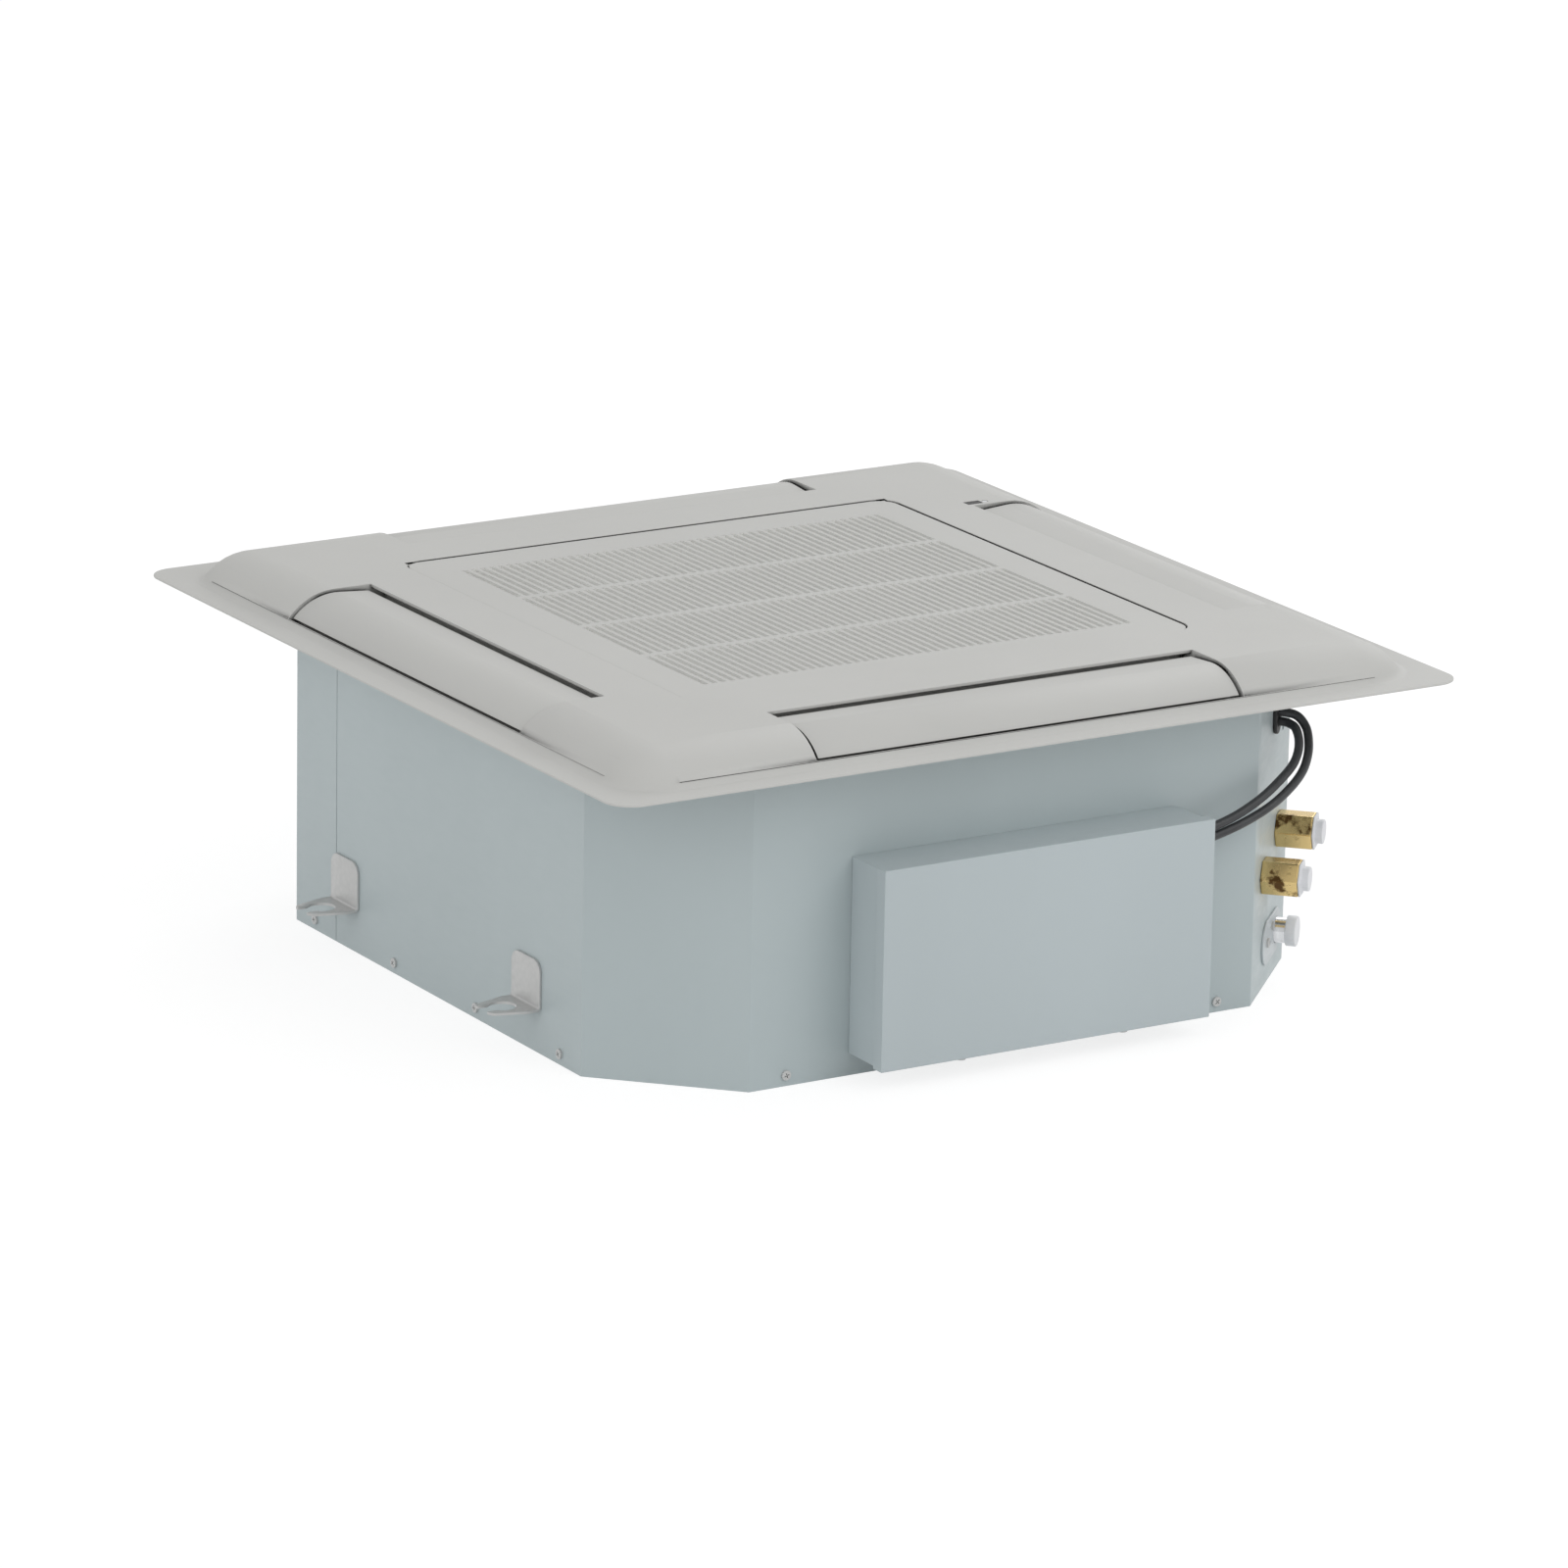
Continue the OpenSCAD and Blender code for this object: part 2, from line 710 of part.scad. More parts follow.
module pipe_holes(clear) {
  at_pipe_corner(pipe_off, pipe_high_z) bar_x(pump_out, reach + over, neck_r + clear);
  at_pipe_corner(-pipe_off, pipe_low_z) bar_x(pump_out, reach + over, neck_r + clear);
  at_pipe_corner(drain_off, drain_z) bar_x(pump_out, reach + over, drain_r + clear);
}

module wiring_hole() {
  translate([-box_left + wiring_in, -case_half + liner_inset + liner_t + over, box_z + wiring_up])
    rotate([90, 0, 0]) cylinder(h = liner_inset + liner_t + sheet + 2 * over, r = wiring_r);
}

module grommet_hole(r) {
  at_pipe_corner(0, grommet_z) translate([reach - liner_inset - liner_t, 0, 0])
    rotate([0, 90, 0]) linear_extrude(height = liner_inset + liner_t + over) stadium(lead_pitch, r);
}

module front_shell() {
  color("#a9b4b7") difference() {
    shell();
    screw_holes();
    at_drain_screws() translate([0, 0, -screw_len]) cylinder(h = screw_len, r = screw_r + run_gap);
    pipe_holes(fit_gap);
    wiring_hole();
    grommet_hole(grommet_neck_r + run_gap);
    at_pipe_corner(peep_off, peep_z) bar_x(reach - liner_inset, reach + over, peep_r);
  }
}

module rear_shell() {
  color("#a9b4b7") difference() {
    rotate([0, 0, 180]) shell();
    screw_holes();
  }
}

module pan_screw() {
  cylinder(h = screw_head_h, r = screw_head_r);
  translate([0, 0, -screw_len]) cylinder(h = screw_len + screw_head_h / 2, r = screw_r);
}

// the screws of the casing, of the box's cover and of the drain plate are all alike
module casing_screws() {
  color("#b9bdbe") {
    at_screws() pan_screw();
    for (side = [-1, 1]) translate([-box_left + box_w / 2 + side * box_w / 4,
      -case_half - box_d + cover_lip / 2, box_z - sheet - fit_gap])
      rotate([180, 0, 0]) pan_screw();
    at_drain_screws() pan_screw();
  }
}

// hangers, drawn on the -X side at its middle
module hanger() {
  tip = fork_tip_w / 2;
  color("#c3c6c6") translate([-case_half, 0, hanger_z]) {
    mirror([1, 0, 0]) rotate([90, 0, 90]) linear_extrude(height = hanger_t) {
      translate([-hanger_w / 2, 0]) square([hanger_w, hanger_h - hanger_corner_r]);
      translate([-hanger_w / 2 + hanger_corner_r, 0]) square([hanger_w - 2 * hanger_corner_r, hanger_h]);
      for (side = [-1, 1]) translate([side * (hanger_w / 2 - hanger_corner_r),
        hanger_h - hanger_corner_r]) circle(r = hanger_corner_r);
    }
    linear_extrude(height = hanger_t) difference() {
      polygon([[0, -hanger_w / 2], [-rod_out / 2, -hanger_w / 2],
        [-fork_reach + hanger_t, -tip - hanger_t / 2], [-fork_reach, -tip + hanger_t],
        [-fork_reach, tip - hanger_t], [-fork_reach + hanger_t, tip + hanger_t / 2],
          [-rod_out / 2, hanger_w / 2], [0, hanger_w / 2]]);
      translate([-rod_out, 0]) circle(r = rod_r);
      translate([-fork_reach - over, -rod_slot_w / 2]) square([fork_reach - rod_out + over, rod_slot_w]);
    }
  }
}

module hanger_left_front() {
  translate([0, -hanger_pitch / 2, 0]) hanger();
}

module hanger_left_rear() {
  translate([0, hanger_pitch / 2, 0]) hanger();
}

module hanger_right_front() {
  translate([0, -hanger_pitch / 2, 0]) mirror([1, 0, 0]) hanger();
}

module hanger_right_rear() {
  translate([0, hanger_pitch / 2, 0]) mirror([1, 0, 0]) hanger();
}

// electrical box, with its open side to -Y
module box_outline(inset) {
  translate([-box_left + inset, -case_half - body_d]) square([box_w - 2 * inset, body_d - box_corner_r]);
  translate([-box_left + inset, -case_half - box_corner_r])
    square([box_w - box_corner_r - inset, box_corner_r - inset]);
  translate([box_right - box_corner_r, -case_half - box_corner_r]) circle(r = box_corner_r - inset);
}

// the two leads' hole in the right end of the box
module lead_hole(clear) {
  translate([box_right - box_corner_r, inner_route[0][1], (inner_route[0][2] + outer_route[0][2]) / 2])
    rotate([0, 90, 0]) linear_extrude(height = box_corner_r + over) stadium(lead_pitch, lead_r + clear);
}

module electrical_box() {
  color("#b0b9bd") difference() {
    translate([0, 0, box_z]) linear_extrude(height = box_h) box_outline(0);
    translate([0, 0, box_z + sheet]) linear_extrude(height = box_h - 2 * sheet) {
      box_outline(sheet);
      translate([-box_left + sheet, -case_half - box_d]) square([box_w - 2 * sheet, box_d / 2]);
    }
    lead_hole(fit_gap);
    wiring_hole();
    translate([box_right - entry_in, -case_half - entry_out, box_z - over])
      cylinder(h = sheet + 2 * over, r = entry_r);
    for (side = [-1, 1]) translate([-box_left + box_w / 2 + side * box_w / 4,
      -case_half - box_d + cover_lip / 2, box_z - over])
      cylinder(h = sheet + 2 * over, r = screw_r + run_gap);
  }
}

module box_cover() {
  grow = sheet + fit_gap;
  color("#b4bdc1") translate([0, -case_half - box_d, 0]) difference() {
    translate([-box_left - grow, 0, box_z - grow])
      cube([box_w + grow + cover_past, cover_lip, box_h + 2 * grow]);
    translate([-box_left - fit_gap, sheet, box_z - fit_gap])
      cube([box_w + fit_gap + cover_past - sheet, cover_lip, box_h + 2 * fit_gap]);
    for (side = [-1, 1]) translate([-box_left + box_w / 2 + side * box_w / 4, cover_lip / 2,
      box_z - grow - over])
      cylinder(h = grow + 2 * over, r = screw_r + run_gap);
  }
}

module terminal_block() {
  way = (block_w - block_wall) / block_ways;
  color("#e8e6dc") translate([-box_left + block_h, -case_half - sheet, box_z + block_h]) {
    translate([0, -block_d / 2, 0]) cube([block_w, block_d / 2, block_h]);
    for (i = [0:block_ways]) translate([i * way, -block_d, 0]) cube([block_wall, block_d, block_h]);
    translate([0, -block_d, block_h * 0.4]) cube([block_w, block_d, block_h * 0.2]);
  }
}

module control_board() {
  color("#2f6b4f") translate([-box_left + block_h, -case_half - sheet,
    box_z + box_h - board_h - block_wall - post_in]) {
    translate([0, -post_h - board_t, 0]) cube([board_w, board_t, board_h]);
    for (x = [post_in, board_w - post_in], z = [post_in, board_h - post_in])
      translate([x, 0, z]) rotate([90, 0, 0]) cylinder(h = post_h + board_t / 2, r = post_r);
    translate([board_w - trafo_w - 2 * post_in, -post_h - board_t / 2 - trafo_d,
      board_h / 2 - trafo_w / 2]) cube([trafo_w, trafo_d, trafo_w]);
    translate([post_in + capacitor_r, -post_h - board_t / 2, board_h / 2]) rotate([90, 0, 0])
      cylinder(h = capacitor_h, r = capacitor_r);
    for (i = [0:2]) translate([board_w / 3, -post_h - board_t / 2 - relay_d,
      board_h / 6 + i * relay_w * 1.2])
      cube([relay_w, relay_d, relay_w]);
    translate([board_w - connector_w, -post_h - board_t / 2 - connector_d, board_h - connector_h])
      cube([connector_w, connector_d, connector_h]);
  }
}

// leads: a round tube swept along a smooth curve through the points of a route
function route_point(p, i) = p[max(0, min(len(p) - 1, i))];
function smooth(p, i, t) = let(a = route_point(p, i - 1), b = route_point(p, i),
  c = route_point(p, i + 1), d = route_point(p, i + 2))
  0.5 * (2 * b + (c - a) * t + (2 * a - 5 * b + 4 * c - d) * t * t + (3 * b - a - 3 * c + d) * t * t * t);
function unit(v) = v / norm(v);

module lead(route) {
  n = (len(route) - 1) * lead_steps;
  line = [for (k = [0:n])
    k == n ? route[len(route) - 1] : smooth(route, floor(k / lead_steps), (k % lead_steps) / lead_steps)];
  rings = [for (k = [0:n])
    let(ahead = unit(line[min(n, k + 1)] - line[max(0, k - 1)]), side = unit(cross(ahead, [0, 0, 1])),
      up = cross(side, ahead))
    for (j = [0:lead_sides - 1])
      line[k] + lead_r * (cos(360 * j / lead_sides) * side + sin(360 * j / lead_sides) * up)];
  walls = [for (k = [0:n - 1], j = [0:lead_sides - 1]) let(a = k * lead_sides + j,
    b = k * lead_sides + (j + 1) % lead_sides)
    each [[a, b, a + lead_sides], [b, b + lead_sides, a + lead_sides]]];
  start_cap = [[for (j = [0:lead_sides - 1]) lead_sides - 1 - j]];
  end_cap = [[for (j = [0:lead_sides - 1]) n * lead_sides + j]];
  polyhedron(points = rings, faces = concat(walls, start_cap, end_cap));
}

module inner_lead() {
  color("#3a3b3d") lead(inner_route);
}

module outer_lead() {
  color("#3a3b3d") lead(outer_route);
}

module lead_grommet() {
  color("#262626") at_pipe_corner(0, grommet_z) difference() {
    union() {
      translate([reach, 0, 0]) rotate([0, 90, 0]) linear_extrude(height = grommet_bead)
        stadium(lead_pitch, grommet_r);
      translate([reach - sheet, 0, 0]) rotate([0, 90, 0]) linear_extrude(height = sheet)
        stadium(lead_pitch, grommet_neck_r);
      translate([reach - sheet - grommet_bead, 0, 0]) rotate([0, 90, 0])
        linear_extrude(height = grommet_bead) stadium(lead_pitch, grommet_r - sheet);
    }
    translate([reach - sheet - grommet_bead - over, 0, 0]) rotate([0, 90, 0])
      linear_extrude(height = sheet + 2 * grommet_bead + 2 * over) stadium(lead_pitch, lead_r + fit_gap);
  }
}

// water connections on the pipe corner
module brass_end() {
  color("#b59a5b") difference() {
    union() {
      hex_x(reach, reach + hex_len, hex_af);
      bar_x(reach - neck_len, reach + sheet, neck_r);
    }
    bar_x(reach + hex_len - thread_depth, reach + hex_len + over, thread_r);
    bar_x(reach - neck_len - over, reach + hex_len - thread_depth + over, pipe_r + run_gap);
  }
}

module plug() {
  color("#e9e9ea") {
    hex_x(reach + hex_len, reach + hex_len + plug_flange, hex_af);
    bar_x(reach + hex_len, reach + hex_len + plug_flange + plug_knob, plug_r);
    bar_x(reach + hex_len - plug_depth, reach + hex_len + plug_flange / 2, thread_r - run_gap);
  }
}

module supply_end() {
  at_pipe_corner(-pipe_off, pipe_low_z) brass_end();
}

module return_end() {
  at_pipe_corner(pipe_off, pipe_high_z) brass_end();
}

module supply_plug() {
  at_pipe_corner(-pipe_off, pipe_low_z) plug();
}

module return_plug() {
  at_pipe_corner(pipe_off, pipe_high_z) plug();
}

// drain
module drain_plate() {
  color("#b4bdbf") difference() {
    at_pipe_corner(drain_off - drain_plate_off / 2, drain_z) translate([reach, 0, 0]) rotate([0, 90, 0])
      rotate([0, 0, 90]) linear_extrude(height = drain_plate_t) stadium(drain_plate_off, drain_plate_r);
    at_pipe_corner(drain_off, drain_z)
      bar_x(reach - over, reach + drain_plate_t + over, drain_r + fit_gap);
    at_drain_screws() translate([0, 0, -screw_len]) cylinder(h = screw_len + over, r = screw_r + run_gap);
  }
}

module drain_spigot() {
  color("#d0d2d3") at_pipe_corner(drain_off, drain_z) difference() {
    union() {
      bar_x(spigot_start, reach + drain_out, drain_r);
      bar_x(reach - sheet - drain_wall, reach - sheet, drain_r + drain_wall);
    }
    bar_x(spigot_start - over, reach + drain_out + over, drain_r - drain_wall);
  }
}

module drain_cap() {
  color("#ededee") at_pipe_corner(drain_off, drain_z) difference() {
    bar_x(reach + drain_out + drain_wall + fit_gap - drain_cap_len,
      reach + drain_out + drain_wall + fit_gap, drain_cap_r);
    bar_x(reach + drain_out + drain_wall - drain_cap_len - over, reach + drain_out + fit_gap,
      drain_r + run_gap);
  }
}

// lining, tray and inlet ring
module foam_lining() {
  color("#e4e6e6") difference() {
    translate([0, 0, sheet]) linear_extrude(height = tray_z - sheet) octagon(liner_inset);
    translate([0, 0, sheet + liner_t]) linear_extrude(height = tray_z) octagon(liner_inset + liner_t);
    cylinder(h = 2 * liner_t, r = liner_hole_r);
    difference() {
      cylinder(h = sheet + ring_h + fit_gap, r = ring_r + ring_w / 2 + fit_gap);
      cylinder(h = sheet + ring_h + fit_gap, r = liner_hole_r - over);
    }
    pipe_holes(drain_wall + fit_gap);
    wiring_hole();
    at_screws() translate([0, 0, -screw_len - over]) cylinder(h = screw_len, r = screw_r + fit_gap);
    at_drain_screws() translate([0, 0, -screw_len - over]) cylinder(h = screw_len, r = screw_r + fit_gap);
  }
}

// a ring that follows the coil in plan
module coil_outline(inner, outer) {
  difference() {
    rounded_square(coil_half + outer, coil_bend_r + outer);
    rounded_square(coil_half - inner, coil_bend_r - inner);
  }
}

// places its children at the four outlets, with the outlet's outer side to -Y
module at_outlets() {
  for (turn = [0, 180]) rotate([0, 0, turn]) translate([cos(turn) * long_shift, 0, 0]) {
    $length = long_outlet;
    children();
  }
  for (turn = [90, 270]) rotate([0, 0, turn]) translate([turn == 90 ? short_shift : 0, 0, 0]) {
    $length = short_outlet;
    children();
  }
}

// room for the flap motors below the ceiling line
module motor_rooms(clear) {
  at_outlets() translate([-$length / 2 - wall - step_len - step_plug_len - clear,
    -pivot_at - step_r - clear, case_h + pivot_z - step_r - clear])
    cube([step_len + step_plug_len + 2 * clear, 2 * (step_r + clear), step_r + clear]);
}

// the straps' room over the tray
module strap_rooms(clear) {
  for (turn = [45:90:315]) rotate([0, 0, turn]) {
    translate([strap_start - clear, -strap_w / 2 - clear, case_h - strap_t - clear])
      cube([reach - sheet - strap_start + 2 * clear, strap_w + 2 * clear, strap_t + clear + over]);
    translate([reach - sheet - strap_t - fit_gap - clear, -strap_w / 2 - clear,
      case_h - strap_t - strap_drop - clear])
      cube([strap_t + fit_gap + 2 * clear + over, strap_w + 2 * clear,
        strap_drop + strap_t + clear + over]);
  }
}

// the leads' way past the tray's edge
module lead_room() {
  at_pipe_corner(0, tray_z - over) translate([notch_start, -grommet_r, 0])
    cube([strap_w + liner_inset, 2 * grommet_r, case_h - tray_z + 3 * over]);
}

module drip_tray() {
  color("#f0f0ee") difference() {
    translate([0, 0, tray_z]) linear_extrude(height = tray_h) difference() {
      octagon(liner_inset);
      circle(r = inlet_r);
    }
    translate([0, 0, tray_z - over]) linear_extrude(height = trough_h + over)
      coil_outline(sheet + fit_gap, coil_t + sheet + fit_gap);
    at_pipe_corner(0, tray_z - over) translate([pocket_in, -pocket_half, 0])
      cube([pocket_out - pocket_in, 2 * pocket_half, trough_h + over]);
    at_outlets() translate([-$length / 2, -duct_in - duct_w, tray_z - over])
      cube([$length, duct_w, tray_h + 2 * over]);
    translate([0, 0, tray_top - mouth_t - fit_gap])
      cylinder(h = mouth_t + fit_gap + over, r = throat_r + mouth_r + flange_w + fit_gap);
    motor_rooms(fit_gap);
    strap_rooms(fit_gap);
    for (turn = [45:90:315]) rotate([0, 0, turn])
      translate([fix_at * sqrt(2), 0, case_h - lug_t - 4 * weld_nut_h])
      cylinder(h = 4 * weld_nut_h + lug_t, r = weld_nut_r + fit_gap);
    lead_room();
  }
}

module panel_seal() {
  color("#3c3d3e") difference() {
    translate([0, 0, tray_top]) linear_extrude(height = seal_t + seat_h) difference() {
      octagon(liner_inset);
      rounded_square(inlet_half, well_corner_r / 2);
    }
    at_outlets() translate([-$length / 2, -duct_in - duct_w, tray_top - over])
      cube([$length, duct_w, seal_t + seat_h + 2 * over]);
    motor_rooms(fit_gap);
    strap_rooms(fit_gap);
    lead_room();
  }
}

module inlet_ring() {
  color("#4b4d4f") difference() {
    rotate_extrude() {
      difference() {
        translate([throat_r, mouth_z]) square([mouth_r, mouth_r]);
        translate([throat_r + mouth_r, mouth_z]) circle(r = mouth_r - mouth_t);
      }
      translate([throat_r, throat_z]) square([mouth_t, mouth_z - throat_z]);
      translate([throat_r + mouth_r, tray_top - mouth_t]) square([flange_w, mouth_t]);
    }
    rotate_extrude() difference() {
      translate([throat_r - over, mouth_z]) square([mouth_r + over, mouth_r + over]);
      translate([throat_r + mouth_r, mouth_z]) circle(r = mouth_r);
    }
  }
}

// coil
module coil_fins() {
  color("#c9ccce") translate([0, 0, coil_z]) linear_extrude(height = trough_top - coil_z) difference() {
    coil_outline(0, coil_t);
    translate([coil_end - end_plate, -2 * coil_half])
      square([coil_half, 2 * coil_half - coil_end + end_plate]);
  }
}

// one end of the coil, at the end of the -Y run: bends between tube pairs, and stubs to the header
module end_bends() {
  translate([0, 0, coil_z]) linear_extrude(height = trough_top - coil_z) intersection() {
    coil_outline(0, coil_t);
    translate([coil_end - end_plate, -2 * coil_half]) square([end_plate, coil_half + coil_t]);
  }
  for (i = [0:2:tube_rows - 2])
    translate([coil_end - over / 2, -inner_row, coil_z + tube_first + (i + 0.5) * tube_pitch])
    rotate([90, 0, 0]) intersection() {
      rotate_extrude() translate([tube_pitch / 2, 0]) circle(r = tube_r);
      translate([0, -tube_pitch, -tube_pitch]) cube([tube_pitch, 2 * tube_pitch, 2 * tube_pitch]);
    }
}

module coil_bends() {
  color("#b87345") {
    end_bends();
    mirror([1, 1, 0]) end_bends();
  }
}

// header of the -Y run, with its stubs and the pipe to the corner
module header(z) {
  color("#b87345") {
    translate([header_at, -header_y, coil_z + fit_gap]) cylinder(h = header_h, r = header_r);
    for (i = [0:tube_rows - 1]) translate([0, -header_y, coil_z + tube_first + i * tube_pitch])
      bar_x(coil_end, header_at, tube_r);
    at_pipe_corner(-pipe_off, z)
      bar_x((header_at + header_y) / sqrt(2), reach + hex_len - thread_depth, pipe_r);
  }
}

module supply_header() {
  header(pipe_low_z);
}

module return_header() {
  mirror([1, 1, 0]) header(pipe_high_z);
}

module coil_baffle() {
  half = (coil_half - coil_end) / sqrt(2);
  color("#b9bdbe") at_pipe_corner(0, coil_z) translate([(coil_half + coil_end) / sqrt(2), -half, 0])
    cube([sheet, 2 * half, trough_top - coil_z]);
}

// condensate pump and float switch
module condensate_pump() {
  arm_start = (coil_half + coil_end) / sqrt(2) + sheet;
  color("#d9dadb") at_pipe_corner(0, pump_z) {
    translate([pump_out, pump_off, 0]) cylinder(h = pump_h, r = pump_r);
    translate([arm_start, -pump_arm_w / 2, pump_h / 3])
      cube([pump_out - arm_start, pump_arm_w, pump_arm_t]);
    translate([arm_start, -pump_arm_w / 2, pump_h / 3]) cube([pump_arm_t, pump_arm_w, pump_arm_w]);
  }
}

// the hose comes down from the pump, runs along the corner and turns out to the spigot
module hose_run(r, past) {
  translate([0, pump_off - drain_off, 0]) cylinder(h = pump_z - drain_z + past, r = r);
  translate([0, pump_off - drain_off, 0]) sphere(r = r);
  rotate([90, 0, 0]) cylinder(h = drain_off - pump_off, r = r);
  sphere(r = r);
  bar_x(0, spigot_start + neck_len - pump_out + past, r);
}

module pump_hose() {
  cuff_r = drain_r - drain_wall - run_gap;
  color("#5a5c5e") at_pipe_corner(drain_off, drain_z) translate([pump_out, 0, 0]) difference() {
    union() {
      hose_run(hose_r, 0);
      bar_x(spigot_start - pump_out, spigot_start + neck_len - pump_out, cuff_r);
    }
    hose_run(hose_r - hose_wall, over);
  }
}

module float_guide() {
  foot = float_z - fit_gap - guide_r;
  color("#d9dadb") at_pipe_corner(pump_off - float_off, 0) translate([pump_out, 0, 0]) {
    translate([0, 0, foot]) cylinder(h = pump_z + pump_h - foot, r = guide_r);
    translate([0, 0, foot]) cylinder(h = guide_r, r = 2 * guide_r);
    translate([-guide_r, 0, foot]) cube([2 * guide_r, float_off - pump_r - fit_gap, guide_r]);
  }
}

module pump_float() {
  color("#f2f2f2") at_pipe_corner(pump_off - float_off, float_z) translate([pump_out, 0, 0])
    difference() {
    cylinder(h = float_h, r = float_r);
    translate([0, 0, -over]) cylinder(h = float_h + 2 * over, r = guide_r + 2 * run_gap);
  }
}

// fan
module at_mounts() {
  for (turn = [30:120:270]) rotate([0, 0, turn]) translate([mount_ring_r, 0, 0]) children();
}

module fan_motor() {
  color("#7d8286") difference() {
    union() {
      translate([0, 0, sheet + motor_gap]) cylinder(h = motor_h, r = motor_r);
      translate([0, 0, sheet + motor_gap + motor_h]) cylinder(h = ring_h, r = motor_r / 2);
      for (turn = [30:120:270]) rotate([0, 0, turn]) translate([0, -mount_r, ear_z])
        cube([mount_ring_r, 2 * mount_r, ear_t]);
      at_mounts() translate([0, 0, ear_z]) cylinder(h = ear_t, r = mount_r);
    }
    at_mounts() translate([0, 0, ear_z - over]) cylinder(h = ear_t + 2 * over, r = stud_r + fit_gap);
    translate([0, 0, sheet + motor_gap + ring_h]) cylinder(h = motor_h + over, r = shaft_r + run_gap);
  }
}

module motor_mounts() {
  color("#2b2b2b") at_mounts() translate([0, 0, sheet]) difference() {
    cylinder(h = mount_h, r = mount_r);
    translate([0, 0, -over]) cylinder(h = mount_h + 2 * over, r = stud_r + run_gap);
  }
}

module hex_nut(bore) {
  difference() {
    cylinder(h = nut_h, r = 2 * bore, $fn = 6);
    translate([0, 0, -over]) cylinder(h = nut_h + 2 * over, r = bore + run_gap);
  }
}

module motor_nuts() {
  color("#b9bdbe") at_mounts() translate([0, 0, ear_z + ear_t]) hex_nut(stud_r);
}

module motor_shaft() {
  foot = sheet + motor_gap + ring_h + fit_gap;
  color("#c9cbcc") translate([0, 0, foot]) cylinder(h = shaft_top - foot, r = shaft_r);
}

// a blade leans back from the eye to the rim in flat strips
function blade_point(share, back) = let(r = blade_start + (fan_r - over - blade_start) * share,
  turn = blade_lean * share - atan(back / r))
  [r * cos(turn), r * sin(turn)];

module blade() {
  polygon(concat([for (k = [0:blade_strips]) blade_point(k / blade_strips, 0)],
    [for (k = [blade_strips:-1:0]) blade_point(k / blade_strips, blade_t)]));
}

module impeller() {
  color("#5b6064") translate([0, 0, fan_z]) difference() {
    union() {
      cylinder(h = fan_t, r = fan_r);
      cylinder(h = hub_h, r = hub_r);
      rotate_extrude() polygon([[eye_r, fan_h], [eye_r, fan_h - fan_t], [fan_r, rim_gap],
        [fan_r, rim_gap + fan_t], [eye_r + fan_t, fan_h]]);
      intersection() {
        linear_extrude(height = fan_h) for (i = [0:blades - 1]) rotate([0, 0, i * 360 / blades]) blade();
        rotate_extrude() polygon([[hub_r, 0], [fan_r, 0], [fan_r, rim_gap + fan_t / 2],
          [eye_r, fan_h - fan_t / 2],
          [eye_r, fan_h - throat_in - 2 * over], [hub_r, rim_gap]]);
      }
    }
    translate([0, 0, -over]) cylinder(h = hub_h + 2 * over, r = shaft_r + run_gap);
  }
}

module impeller_nut() {
  color("#b9bdbe") translate([0, 0, fan_z + hub_h]) hex_nut(shaft_r);
}

// straps that hold the tray and take the panel's screws
module strap() {
  color("#b9bdbe") difference() {
    union() {
      translate([strap_start, -strap_w / 2, case_h - strap_t])
        cube([strap_end - strap_start, strap_w, strap_t]);
      translate([strap_end - strap_t, -strap_w / 2, case_h - strap_t - strap_drop])
        cube([strap_t, strap_w, strap_drop + strap_t]);
      translate([fix_at * sqrt(2), 0, case_h - strap_t - weld_nut_h])
        cylinder(h = weld_nut_h + strap_t / 2, r = weld_nut_r);
    }
    translate([fix_at * sqrt(2), 0, case_h - strap_t - weld_nut_h - over])
      cylinder(h = strap_t + weld_nut_h + 2 * over, r = fix_r + run_gap);
  }
}

module strap_left_front() {
  rotate([0, 0, -135]) strap();
}

module strap_right_front() {
  rotate([0, 0, -45]) strap();
}

module strap_right_rear() {
  rotate([0, 0, 45]) strap();
}

module strap_left_rear() {
  rotate([0, 0, 135]) strap();
}

module panel_screws() {
  color("#b9bdbe") for (turn = [45:90:315]) rotate([0, 0, turn])
    translate([fix_at * sqrt(2), 0, case_h + lug_t]) {
    cylinder(h = fix_head_h, r = fix_head_r);
    translate([0, 0, -lug_t - strap_t - 2 * weld_nut_h])
      cylinder(h = lug_t + strap_t + 2 * weld_nut_h + fix_head_h / 2, r = fix_r);
  }
}

// panel: half a section through its edge, from the middle out, and the raised body swept from it
module edge_profile(inset) {
  intersection() {
    union() {
      square([side_mid, panel_h - inset]);
      translate([side_mid, round_z]) circle(r = edge_r - inset, $fn = 180);
      if (inset == 0) difference() {
        polygon([[side_mid, 0], [foot_u, 0], [foot_u, foot_z], [foot_start_u, foot_start_z]]);
        translate([foot_u, foot_z]) circle(r = foot_r);
      }
    }
    square([foot_u, panel_h]);
  }
}

module raised_body(inset) {
  for (turn = [0:90:270]) rotate([0, 0, turn]) {
    translate([-side_mid, 0, 0]) rotate([90, 0, 90]) linear_extrude(height = 2 * side_mid)
      edge_profile(inset);
    translate([side_mid, side_mid, 0]) rotate_extrude() intersection() {
      translate([-side_mid, 0]) edge_profile(inset);
      square([edge_r + foot_r, panel_h]);
    }
  }
}

// solid blocks that the ducts are cut into
module duct_blocks() {
  at_outlets() translate([-$length / 2 - wall, -foot_u, 0])
    cube([$length + 2 * wall, foot_u - duct_in + wall, panel_h]);
}

